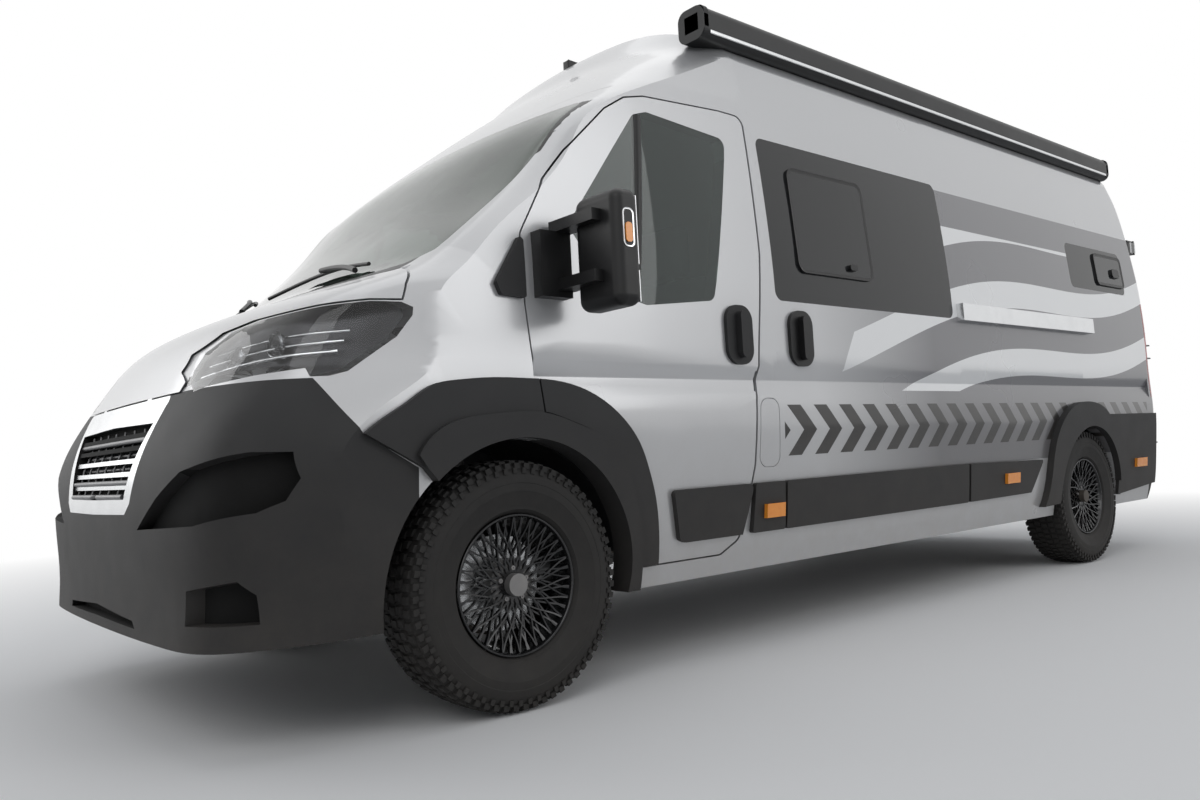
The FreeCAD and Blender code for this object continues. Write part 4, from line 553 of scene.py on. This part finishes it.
def tube(points, radius, smooth=True):
    """Round bar along points, as a mesh with closed ends."""
    data = bpy.data.curves.new("bar", "CURVE")
    data.dimensions = "3D"
    data.bevel_depth = radius
    data.bevel_resolution = 4
    data.use_fill_caps = True
    spline = data.splines.new("NURBS" if smooth else "POLY")
    spline.points.add(len(points) - 1)
    for point, where in zip(spline.points, points):
        point.co = (*where, 1)
    if smooth:
        spline.order_u = 3
        spline.use_endpoint_u = True
        spline.resolution_u = 6
    obj = bpy.data.objects.new("bar", data)
    bpy.context.collection.objects.link(obj)
    select(obj)
    bpy.ops.object.convert(target="MESH")
    edit(obj, "VERT")
    bpy.ops.mesh.remove_doubles(threshold=0.00005)
    bpy.ops.mesh.normals_make_consistent(inside=False)
    close()
    return obj


def pick(obj, test):
    """Leaves only the faces selected that pass a test of centre and normal."""
    edit(obj, "FACE")
    bpy.ops.mesh.select_all(action="DESELECT")
    close()
    for face in obj.data.polygons:
        face.select = test(face.center, face.normal)
    bpy.ops.object.mode_set(mode="EDIT")


def rounded_plate(size, thick, corner, rim=0.0, sink=0.0):
    """Upright plate that faces +X, with rounded corners and, if asked, a raised rim."""
    obj = block((-thick / 2, -size[0] / 2, -size[1] / 2), (thick / 2, size[0] / 2, size[1] / 2))
    edit(obj, "EDGE")
    bpy.ops.mesh.select_all(action="DESELECT")
    close()
    for edge in obj.data.edges:
        a, b = (obj.data.vertices[i].co for i in edge.vertices)
        edge.select = abs(a.x - b.x) > thick / 2
    bpy.ops.object.mode_set(mode="EDIT")
    bpy.ops.mesh.bevel(offset=corner, segments=6, affect="EDGES")
    close()
    if rim:
        pick(obj, lambda centre, normal: normal.x > 0.9)
        bpy.ops.mesh.inset(thickness=rim)
        bpy.ops.transform.translate(value=(-sink, 0, 0))
        close()
    return obj


def on_side(obj, piece, along, low, high, side=1, proud=0.0):
    """Turns an upright plate to the lean of the side and sets it there."""
    top = side_of(piece, along, high, side)
    bottom = side_of(piece, along, low, side)
    lean = math.atan2(abs(bottom.x) - abs(top.x), high - low)
    obj.location = ((top.x + bottom.x) / 2 + side * proud, along, (low + high) / 2)
    obj.rotation_euler = (0, -side * lean, 0 if side > 0 else math.pi)
    if side < 0:
        obj.rotation_euler = (0, lean, math.pi)
    select(obj)
    bpy.ops.object.transform_apply(location=True, rotation=True, scale=True)
    return obj


def mirrored(obj):
    """Copy of a piece on the other side of the van."""
    select(obj)
    bpy.ops.object.duplicate()
    copy = bpy.context.active_object
    copy.scale = (-1, 1, 1)
    bpy.ops.object.transform_apply(location=True, rotation=True, scale=True)
    edit(copy)
    bpy.ops.mesh.normals_make_consistent(inside=False)
    close()
    return copy


def lamp_insides():
    """Projectors, reflectors and light bars inside the headlamps, and the red tail lenses."""
    lamp = SKIN["lamps"]
    outward = lambda c, n: n.y < -0.12 or (n.x * (1 if c.x > 0 else -1) > 0.5 and n.y < 0.3)
    repaint(lamp, LAMP_BACK, lambda c, n: c.y < 0 and not outward(c, n))
    repaint(lamp, TAIL_LENS, lambda c, n: c.y > 0)
    pieces = []
    for x, z, radius in ((0.700, 1.070, 0.036), (0.815, 1.105, 0.034)):
        spot = front_of(lamp, x, z) + Vector((0, 0.034, 0))
        outline = ((0.0, 1.25), (-0.006, 1.3), (-0.008, 1.05), (0.004, 1.0), (0.008, 0.7), (0.011, 0.3))
        profile = [(depth, radius * share) for depth, share in outline] + [(0.012, 0.001)]
        ring = turned(Vector((0, 0, 0)), profile, 40)
        ring.rotation_euler = (0, 0, -math.pi / 2)
        ring.location = spot
        select(ring)
        bpy.ops.object.transform_apply(location=True, rotation=True, scale=True)
        pieces.append(ring)
    for row in range(3):
        points = []
        for i in range(9):
            x = 0.60 + 0.35 * i / 8
            z = 1.032 + 0.012 * math.sin(i / 8 * math.pi) + 0.05 * (i / 8) ** 2 + row * 0.030
            spot = front_of(lamp, x, z)
            if spot is not None:
                points.append(spot + Vector((0, 0.022 + row * 0.006, 0)))
        if len(points) > 3:
            pieces.append(tube(points, 0.0045 if row else 0.007))
    inner = join(pieces)
    left = settle(inner, "headlamp_insides_left", CHROME, "body", 30.0)
    right = mirrored(left)
    settle(right, "headlamp_insides_right", CHROME, "body", 30.0)


def patch(piece, seed, turn=20.0):
    """Faces that run smoothly on from one face, as indexes."""
    faces = piece.data.polygons
    across = {}
    for face in faces:
        for key in face.edge_keys:
            across.setdefault(key, []).append(face.index)
    found, waiting = {seed}, [seed]
    while waiting:
        here = faces[waiting.pop()]
        for key in here.edge_keys:
            for other in across[key]:
                if other not in found and faces[other].normal.angle(here.normal, 0.0) < math.radians(turn):
                    found.add(other)
                    waiting.append(other)
    return found


def struck(piece, x, z):
    """Front face at a width and a height, as its index and its place."""
    hit, where, _, index = piece.ray_cast(Vector((x, NOSE - 1, z)), Vector((0, 1, 0)))
    return (index, where) if hit else (None, None)


def blacken(piece, indexes, material):
    """Gives the faces of a list a further material."""
    piece.data.materials.append(material)
    last = len(piece.data.materials) - 1
    for index in indexes:
        piece.data.polygons[index].material_index = last


# Front outlines of the openings, for the left half: distance from the middle and height
OPENING_EDGE = ((-0.01, 0.698), (0.332, 0.700), (0.362, 0.778), (0.394, 0.848), (0.430, 0.924),
                (-0.01, 0.932))
INTAKE_EDGE = ((0.470, 0.616), (0.611, 0.704), (0.747, 0.773), (0.857, 0.794), (0.955, 0.814), (0.990, 0.810),
               (0.998, 0.740), (0.985, 0.684), (0.962, 0.657), (0.824, 0.630))
FOG_EDGE = ((0.757, 0.369), (0.768, 0.460), (0.911, 0.484), (0.929, 0.446), (0.922, 0.369))
SLOT_EDGE = ((0.0, 0.330), (0.398, 0.326), (0.380, 0.356), (0.0, 0.376))


def within(edge, x, z):
    """Whether a point of the front lies inside an outline."""
    inside = False
    for (x1, z1), (x2, z2) in zip(edge, edge[1:] + edge[:1]):
        if (z1 > z) != (z2 > z) and x < (x2 - x1) * (z - z1) / (z2 - z1) + x1:
            inside = not inside
    return inside


SLAT_HEIGHTS = (0.709, 0.751, 0.793, 0.835, 0.877)


SLAT_HEIGHTS = (0.709, 0.751, 0.793, 0.835, 0.877)


def grille_bars():
    """Pocket of the grille in near-black painted shade, grey slats, and thin upright bars behind them."""
    grille = SKIN["grille"]
    dark = set()
    for column in range(-20, 21):
        x = column * 0.0205
        hits = [struck(grille, x, 0.672 + 0.004 * row) for row in range(61)]
        hits = [hit for hit in hits if hit[0] is not None]
        for index, where in hits:
            near = min(other.y for _, other in hits if abs(other.z - where.z) < 0.06)
            inside = within(OPENING_EDGE, abs(where.x), where.z - 0.006)
            if inside and where.y > near + 0.024 and index not in dark:
                dark |= patch(grille, index)
    for face in grille.data.polygons:
        c, n = face.center, face.normal
        if within(OPENING_EDGE, abs(c.x), c.z) and abs(n.y) < 0.55:
            dark.add(face.index)
    # Painted shade: faces set back in the opening, and the upper and lower faces there, get the near-black.
    blacken(grille, dark, RECESS_SHADE)
    bars = []
    for column in range(-3, 4):
        x = column * 0.105
        points = []
        for z in SLAT_HEIGHTS:
            places = [struck(grille, x, z + step * 0.003)[1] for step in range(-4, 5)]
            near = min(place.y for place in places if place is not None)
            points.append(Vector((x, near + 0.016, z)))
        points.insert(0, points[0] + Vector((0, -0.002, -0.034)))
        points.append(points[-1] + Vector((0, 0.003, 0.034)))
        bars.append(tube(points, 0.0035, smooth=False))
    for z in SLAT_HEIGHTS:
        points = []
        for column in range(-16, 17):
            x = column * 0.0265
            if not within(OPENING_EDGE, abs(x), z):
                continue
            places = [struck(grille, x, z + step * 0.003)[1] for step in range(-3, 4)]
            points.append(Vector((x, min(place.y for place in places if place is not None) + 0.003, z)))
        bars.append(tube(points, 0.0082))
    settle(join(bars), "grille_bars", SLAT, "body")


def inside_lining():
    """Pale lining on the inner faces of the shell and its doors."""
    for name in ("side_panel_left", "side_panel_right", "sliding_door", "cab_door_left", "cab_door_right"):
        repaint(SKIN[name], LINING, lambda c, n: n.x * (1 if c.x > 0 else -1) < -0.5)
    for name in ("rear_door_left", "rear_door_right"):
        repaint(SKIN[name], LINING, lambda c, n: n.y < -0.5)
    repaint(SKIN["roof_panel"], LINING, lambda c, n: n.z < -0.5 and abs(c.x) < 0.98)


def rear_of(piece, x, z):
    """Place on the back of a piece at a width and a height."""
    hit, where, _, _ = piece.ray_cast(Vector((x, TAIL + 1, z)), Vector((0, -1, 0)))
    return where if hit else None


def rear_details():
    """Door pull, blank plate recess and high stop lamp at the back."""
    for name, body, x, z, size, thick, material, piece in (
        ("rear_door_pull", "rear_door_left", 0.095, 1.130, (0.090, 0.200), 0.030, SATIN, "rear_door_left"),
        ("rear_plate_recess", "rear_door_left", 0.480, 1.060, (0.560, 0.150), 0.016, TRIM, "rear_door_left"),
        ("rear_door_wiper_cap", "rear_door_right", -0.400, 1.385, (0.060, 0.060), 0.024, SATIN,
         "rear_door_right"),
        ("high_stop_lamp", "body", 0.0, 2.360, (0.380, 0.040), 0.022, TAIL_LENS, "roof_panel"),
    ):
        spot = rear_of(SKIN[piece], x, z)
        if spot is None:
            continue
        plate = rounded_plate(size, thick, min(size) * 0.22, min(size) * 0.14, thick * 0.35)
        plate.rotation_euler = (0, 0, math.pi / 2)
        plate.location = spot + Vector((0, thick * 0.2, 0))
        settle(plate, name, material, body)


def intake_black_and_shade():
    """Insides of the bumper's intakes, lamp recesses and low slot: black plastic, darkened further with
    painted shade.
    """
    bumper = SKIN["front_bumper"]
    repaint(bumper, RECESS_SHADE, lambda c, n: c.y < NOSE + 0.60 and n.y < 0.3
            and any(within(edge, abs(c.x), c.z) for edge in (INTAKE_EDGE, FOG_EDGE, SLOT_EDGE)))


# Lengths from the nose, in millimetres, between which each row of windows lies
WINDOW_SPANS = ((1150, 2020), (2240, 3580), (5240, 5760))


def window_finish():
    """Black reveals round the windows, the opening window and the small rear window's frame."""
    for name in ("cab_door_left", "cab_door_right", "sliding_door", "side_panel_left", "side_panel_right"):
        skin = SKIN[name]
        repaint(skin, SATIN, lambda c, n: 1.20 < c.z < 2.0 and abs(n.x) < 0.4 and abs(c.x) > 0.90
                and any(place(0, low, 0).y < c.y < place(0, high, 0).y for low, high in WINDOW_SPANS))
    glass_skin = SKIN["side_windows"]
    for side, word in ((1, "left"), (-1, "right")):
        pane = rounded_plate((0.528, 0.448), 0.016, 0.045, 0.014, 0.004)
        on_side(pane, glass_skin, place(0, 2653, 0).y, 1.459, 1.907, side, 0.003)
        settle(pane, "opening_window_" + word, SATIN, "body")
        repaint(pane, DARK_GLASS, lambda c, n, s=side: n.x * s > 0.9 and 1.475 < c.z < 1.89
                and place(0, 2410, 0).y < c.y < place(0, 2900, 0).y)
        latch = rounded_plate((0.050, 0.026), 0.016, 0.010)
        on_side(latch, glass_skin, place(0, 2760, 0).y, 1.496, 1.522, side, 0.012)
        settle(latch, "window_latch_" + word, SATIN, "body")
        small = rounded_plate((0.40, 0.20), 0.016, 0.035, 0.018, 0.004)
        on_side(small, glass_skin, place(0, 5530, 0).y, 1.640, 1.840, side, 0.003)
        settle(small, "rear_side_window_" + word, SATIN, "body")
        repaint(small, DARK_GLASS, lambda c, n, s=side: n.x * s > 0.9 and 1.665 < c.z < 1.815
                and place(0, 5355, 0).y < c.y < place(0, 5705, 0).y)
        knob = rounded_plate((0.10, 0.055), 0.014, 0.020)
        on_side(knob, glass_skin, place(0, 5600, 0).y, 1.70, 1.755, side, 0.012)
        settle(knob, "rear_window_latch_" + word, SATIN, "body")


def quarter_light_bars():
    """Dark post between each cab door's quarter light and its main window."""
    for side, word in ((1, "left"), (-1, "right")):
        pane = SKIN["door_glass_" + word]
        points = []
        for i in range(7):
            share = i / 6
            spot = side_of(pane, place(0, 1486 + 92 * share, 0).y, 1.345 + 0.620 * share, side)
            if spot is not None:
                points.append(spot - Vector((side * 0.010, 0, 0)))
        bar = tube(points, 0.020)
        settle(bar, "quarter_light_bar_" + word, SATIN, "cab_door_" + word)


def wipers():
    """Two wipers that rest along the foot of the windscreen."""
    screen = SKIN["windscreen"]
    for name, foot, tip in (("wiper_left", (0.64, 1.40), (-0.06, 1.395)),
                            ("wiper_right", (-0.16, 1.385), (-0.76, 1.43))):
        blade, arm = [], []
        for i in range(9):
            share = i / 8
            x = foot[0] + (tip[0] - foot[0]) * share
            z = foot[1] + (tip[1] - foot[1]) * share + 0.035 * math.sin(share * math.pi)
            spot = front_of(screen, x, z)
            if spot is not None:
                blade.append(spot + Vector((0, -0.014, 0.010)))
                if i in (0, 2, 4):
                    arm.append(spot + Vector((0, -0.028, 0.018)))
        arm[0] = arm[0] + Vector((0.03, -0.05, -0.04))
        pieces = [tube(blade, 0.0065), tube(arm, 0.009)]
        settle(join(pieces), name, SATIN, "body")


def mirror_details():
    """Mirror glass towards the driver, and the indicator lens on the housing's outer edge."""
    for side, word in ((1, "left"), (-1, "right")):
        for low, high, name in ((1.335, 1.550, "mirror_glass_"), (1.220, 1.318, "lower_mirror_glass_")):
            pane = block((side * 1.135, place(0, 1238, 0).y, low),
                         (side * 1.300, place(0, 1243, 0).y, high), 0.002)
            settle(pane, name + word, CHROME, "cab_door_" + word)
        lens = rounded_plate((0.046, 0.120), 0.012, 0.018, 0.006, 0.002)
        lens.location = (side * 1.3155, place(0, 1186, 0).y, 1.440)
        lens.rotation_euler = (0, 0, 0 if side > 0 else math.pi)
        settle(lens, "mirror_indicator_" + word, CHROME, "cab_door_" + word)
        amber = rounded_plate((0.026, 0.060), 0.006, 0.010)
        amber.location = (side * 1.3205, place(0, 1186, 0).y, 1.425)
        settle(amber, "mirror_repeater_" + word, AMBER, "cab_door_" + word)


def awning_details():
    """End caps and the bright lead bar of the awning."""
    low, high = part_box("awning_case")
    for end, sign in ((low[1], 1), (high[1], -1)):
        cap = block((low[0] + 0.006, min(end, end + sign * 0.035), low[2] + 0.006),
                    (high[0], max(end, end + sign * 0.035), high[2]), 0.03, 5)
        settle(cap, "awning_cap_%s" % ("front" if sign > 0 else "rear"), TRIM, "body")
    lip = block((high[0] - 0.012, low[1] + 0.04, low[2] + 0.020),
                (high[0], high[1] - 0.04, low[2] + 0.034), 0.003)
    settle(lip, "awning_lead_bar", BRIGHT, "body")


def roof_details():
    """Aerial fin and vent lid on the roof."""
    roof = SKIN["roof_panel"]
    spot = top_of(roof, 0.0, place(0, 2150, 0).y)
    fin = block((-0.022, spot.y - 0.09, spot.z - 0.01), (0.022, spot.y + 0.09, spot.z + 0.055), 0.008)
    pick(fin, lambda c, n: n.z > 0.9)
    bpy.ops.transform.resize(value=(0.25, 0.35, 1))
    bpy.ops.transform.translate(value=(0, 0.055, 0))
    close()
    settle(fin, "aerial_fin", SATIN, "body")
    vent_low, vent_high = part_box("roof_fittings")
    lid = block((vent_low[0] + 0.02, vent_low[1] + 0.02, vent_high[2] - 0.016),
                (vent_high[0] - 0.02, vent_high[1] - 0.02, vent_high[2]), 0.006)
    pick(lid, lambda c, n: n.z > 0.9)
    bpy.ops.mesh.inset(thickness=0.03)
    bpy.ops.transform.translate(value=(0, 0, -0.006))
    close()
    settle(lid, "roof_vent_lid", DARK_GLASS, "body")


def crowned(name, low, high, face, crown, material, seams=2):
    """Padded block whose face along an axis swells, with stitched channels across it."""
    axis = "XYZ".index(face[-1])
    sign = -1 if face[0] == "-" else 1
    others = [i for i in range(3) if i != axis]
    low, high = list(low), list(high)
    if sign > 0:
        high[axis] -= crown
    else:
        low[axis] += crown
    obj = block(low, high, min(b - a for a, b in zip(low, high)) * 0.28, 5)
    edit(obj)
    bpy.ops.mesh.quads_convert_to_tris()
    bpy.ops.mesh.tris_convert_to_quads()
    bpy.ops.mesh.subdivide(number_cuts=9)
    close()
    middle = [(a + b) / 2 for a, b in zip(low, high)]
    half = [(b - a) / 2 for a, b in zip(low, high)]
    for vertex in obj.data.vertices:
        u, v = ((vertex.co[i] - middle[i]) / half[i] for i in others)
        outward = max(0.0, sign * (vertex.co[axis] - middle[axis]) / half[axis])
        swell = crown * max(0.0, 1 - u ** 4) * max(0.0, 1 - v ** 4)
        for seam in range(seams):
            line = -0.5 + seam / max(1, seams - 1)
            swell -= crown * 0.55 * math.exp(-((v - line) / 0.035) ** 2)
        vertex.co[axis] += sign * swell * outward ** 2
    settle(obj, name, material, "body", 50.0)
    return obj


def cab_seat(side, word):
    """One cab seat: plinth, cushion, back and headrest, all upholstered but the plinth."""
    middle = side * 0.480
    plinth = block((middle - 0.175, -1.257, 0.562), (middle + 0.175, -0.893, 0.850), 0.012, 3)
    pick(plinth, lambda c, n: abs(n.x) > 0.9 or n.y < -0.9)
    bpy.ops.mesh.inset(thickness=0.03, depth=-0.008, use_individual=True)
    close()
    settle(plinth, "seat_plinth_" + word, SATIN, "body")
    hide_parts("cab_seats")
    for name, half, low, high, face, crown, seams in (
        ("seat_cushion_", 0.25, (-1.335, 0.832), (-0.900, 0.955), "+Z", 0.028, 2),
        ("seat_back_", 0.25, (-0.935, 0.930), (-0.815, 1.480), "-Y", 0.026, 2),
        ("headrest_", 0.125, (-0.925, 1.500), (-0.825, 1.720), "-Y", 0.020, 0),
    ):
        crowned(name + word, (middle - half, *low), (middle + half, *high), face, crown, CLOTH, seams)
    posts = [disc((middle + x, -0.870, 1.490), 0.006, 0.060, "Z", 20) for x in (-0.06, 0.06)]
    settle(join(posts), "headrest_posts_" + word, CHROME, "body")


def cabinet(name, low, high, facing, doors):
    """Cupboard with a worktop, a toe recess and panelled doors on the side that faces the aisle."""
    top = 0.030
    carcass = block((low[0] + (0.012 if facing < 0 else 0), low[1] + 0.006, low[2] + 0.001),
                    (high[0] - (0.012 if facing > 0 else 0), high[1] - 0.006, high[2] - top), 0.003)
    front = high[0] - 0.012 if facing > 0 else low[0] + 0.012
    wide = (high[1] - low[1] - 0.03) / doors
    pieces = [carcass]
    for i in range(doors):
        start = low[1] + 0.015 + wide * i
        edges = sorted((front, front + facing * 0.012))
        door = block((edges[0], start + 0.004, low[2] + 0.070),
                     (edges[1], start + wide - 0.004, high[2] - top - 0.012), 0.002)
        pick(door, lambda c, n: n.x * facing > 0.9)
        bpy.ops.mesh.inset(thickness=0.045)
        bpy.ops.mesh.inset(thickness=0.006, depth=-0.005)
        close()
        pieces.append(door)
    settle(join(pieces), name, BOARD, "body")
    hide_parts("living_units")
    worktop = block((low[0], low[1], high[2] - top), high, 0.006, 3)
    settle(worktop, name + "_worktop", CAP_WHITE, "body")


def living_space():
    """Kitchen, bench, the bed's side boards and its mattress."""
    cabinet("kitchen", (0.456, -0.025, 0.560), (0.936, 1.075, 1.440), -1, 3)
    cabinet("bench", (-0.936, -0.025, 0.560), (-0.456, 1.075, 1.000), 1, 2)
    for side, word in ((1, "left"), (-1, "right")):
        low, high = sorted((side * 0.456, side * 0.936))
        board = block((low, 1.325, 0.561), (high, 1.445, 1.019), 0.004)
        pick(board, lambda c, n: n.y < -0.9)
        bpy.ops.mesh.inset(thickness=0.04)
        bpy.ops.mesh.inset(thickness=0.008, depth=-0.006)
        close()
        settle(board, "bed_board_" + word, BOARD, "body")
    for i in range(3):
        start = 1.327 + i * 0.4825
        crowned("mattress_%d" % (i + 1), (-0.934, start, 1.022), (0.934, start + 0.479, 1.180),
                "+Z", 0.022, CLOTH, 3)


PAINTED = ("bonnet", "front_wings", "cab_door_left", "cab_door_right", "roof_panel",
           "rear_door_left", "rear_door_right")
WRAPPED = ("sliding_door", "side_panel_left", "side_panel_right")
FINISHES = {
    "front_bumper": TRIM, "arch_flares": TRIM, "side_mouldings": TRIM, "door_trim_left": TRIM,
    "door_trim_right": TRIM, "rear_bumper": TRIM, "cowl_panel": SATIN, "grille": BRIGHT,
    "windscreen": SCREEN_GLASS, "door_glass_left": CAB_GLASS, "door_glass_right": CAB_GLASS,
    "side_windows": DARK_GLASS, "rear_glass_left": DARK_GLASS, "rear_glass_right": DARK_GLASS,
    "awning_case": AWNING, "roof_fittings": CAP_WHITE, "lamps": LENS, "dashboard": SATIN,
    "floor_pan": CHASSIS, "wheelhouses": SATIN, "chassis_frame": CHASSIS, "door_hinges": SATIN,
    "slide_rail": BRIGHT, "sliding_door_handle": SATIN, "side_markers": AMBER, "engine_block": CAST,
    "fuel_tank": SATIN, "exhaust": CAST, "front_subframe": CHASSIS, "rear_axle": CHASSIS,
    "mirror_left": SATIN, "mirror_right": SATIN, "knuckle_left": CAST, "knuckle_right": CAST,
}
SKIN = {}
for painted in PAINTED:
    SKIN[painted] = dress(painted, PAINT)
for wrapped in WRAPPED:
    SKIN[wrapped] = dress(wrapped, WRAP)
for node, finish in FINISHES.items():
    SKIN[node] = dress(node, finish)
for corner in ("front_left", "front_right", "rear_left", "rear_right"):
    build_wheel(corner)


for seat_side, seat_word in ((1, "left"), (-1, "right")):
    cab_seat(seat_side, seat_word)
living_space()
lamp_insides()
grille_bars()
intake_black_and_shade()
window_finish()
quarter_light_bars()
wipers()
mirror_details()
awning_details()
roof_details()
inside_lining()
rear_details()


# Floor, light and camera

def studio():
    """Pale floor, soft lamps and a white surround."""
    bpy.ops.mesh.primitive_plane_add(size=60, location=(0, 0, 0))
    floor = bpy.context.active_object
    floor.name = "studio_floor"
    material, tree, shader = new_material("pale_floor")
    shader.inputs["Base Color"].default_value = (0.92, 0.92, 0.92, 1)
    shader.inputs["Roughness"].default_value = 0.8
    graph = Graph(tree)
    far = tree.nodes.new("ShaderNodeVectorMath")
    far.operation = "LENGTH"
    graph.link(graph.coords, far.inputs[0])
    fade = graph.math("DIVIDE", graph.math("SUBTRACT", far.outputs["Value"], 3.4), 5.0, clamp=True)
    white = tree.nodes.new("ShaderNodeEmission")
    blend = tree.nodes.new("ShaderNodeMixShader")
    seen = tree.nodes.new("ShaderNodeLightPath").outputs["Is Camera Ray"]
    graph.link(graph.math("MULTIPLY", fade, seen), blend.inputs[0])
    graph.link(shader.outputs[0], blend.inputs[1])
    graph.link(white.outputs[0], blend.inputs[2])
    graph.link(blend.outputs[0], tree.nodes["Material Output"].inputs["Surface"])
    floor.data.materials.append(material)
    world = bpy.data.worlds.new("studio_world")
    bpy.context.scene.world = world
    world.use_nodes = True
    tree = world.node_tree
    background = tree.nodes["Background"]
    background.inputs[0].default_value = (0.80, 0.84, 0.90, 1)
    background.inputs[1].default_value = 0.30
    white = tree.nodes.new("ShaderNodeBackground")
    white.inputs[0].default_value = (1, 1, 1, 1)
    path = tree.nodes.new("ShaderNodeLightPath")
    mix = tree.nodes.new("ShaderNodeMixShader")
    clear = tree.nodes.new("ShaderNodeMath")
    clear.operation = "MAXIMUM"
    seen = tree.nodes.new("ShaderNodeMath")
    seen.operation = "MAXIMUM"
    tree.links.new(path.outputs["Is Camera Ray"], clear.inputs[0])
    tree.links.new(path.outputs["Is Transmission Ray"], clear.inputs[1])
    tree.links.new(clear.outputs[0], seen.inputs[0])
    tree.links.new(path.outputs["Is Glossy Ray"], seen.inputs[1])
    tree.links.new(seen.outputs[0], mix.inputs[0])
    tree.links.new(background.outputs[0], mix.inputs[1])
    tree.links.new(white.outputs[0], mix.inputs[2])
    tree.links.new(mix.outputs[0], tree.nodes["World Output"].inputs["Surface"])
    for name, spot, size, power in (
        ("key_lamp", (6.0, -8.0, 7.0), 6.0, 165.0),
        ("top_lamp", (0.0, 0.0, 9.0), 9.0, 150.0),
        ("fill_lamp", (-6.0, -6.0, 4.0), 5.0, 110.0),
        ("side_lamp", (9.0, 3.0, 5.0), 6.0, 170.0),
    ):
        data = bpy.data.lights.new(name, "AREA")
        data.size = size
        data.energy = power
        lamp = bpy.data.objects.new(name, data)
        lamp.location = spot
        lamp.rotation_euler = (Vector((0, 0, 1.2)) - lamp.location).to_track_quat("-Z", "Y").to_euler()
        bpy.context.collection.objects.link(lamp)
    bpy.context.scene.view_settings.view_transform = "Standard"


CAMERA_PLACE = (3.39785, -3.76273, 0.75693)
CAMERA_YAW = 0.706998
CAMERA_PITCH = 0.0587849
CAMERA_ROLL = -0.0523904
CAMERA_LENS = 28.553


def camera():
    """Camera at the photograph's place and angle."""
    data = bpy.data.cameras.new("photo_camera")
    data.sensor_width = 36.0
    data.lens = CAMERA_LENS
    way = Vector((-math.cos(CAMERA_YAW) * math.cos(CAMERA_PITCH),
                  math.sin(CAMERA_YAW) * math.cos(CAMERA_PITCH),
                  math.sin(CAMERA_PITCH)))
    right = way.cross(Vector((0, 0, 1))).normalized()
    up = right.cross(way)
    turned = right * math.cos(CAMERA_ROLL) + up * math.sin(CAMERA_ROLL)
    raised = up * math.cos(CAMERA_ROLL) - right * math.sin(CAMERA_ROLL)
    obj = bpy.data.objects.new("photo_camera", data)
    obj.matrix_world = Matrix((turned, raised, -way)).transposed().to_4x4()
    obj.location = CAMERA_PLACE
    bpy.context.collection.objects.link(obj)
    bpy.context.scene.camera = obj


studio()
camera()
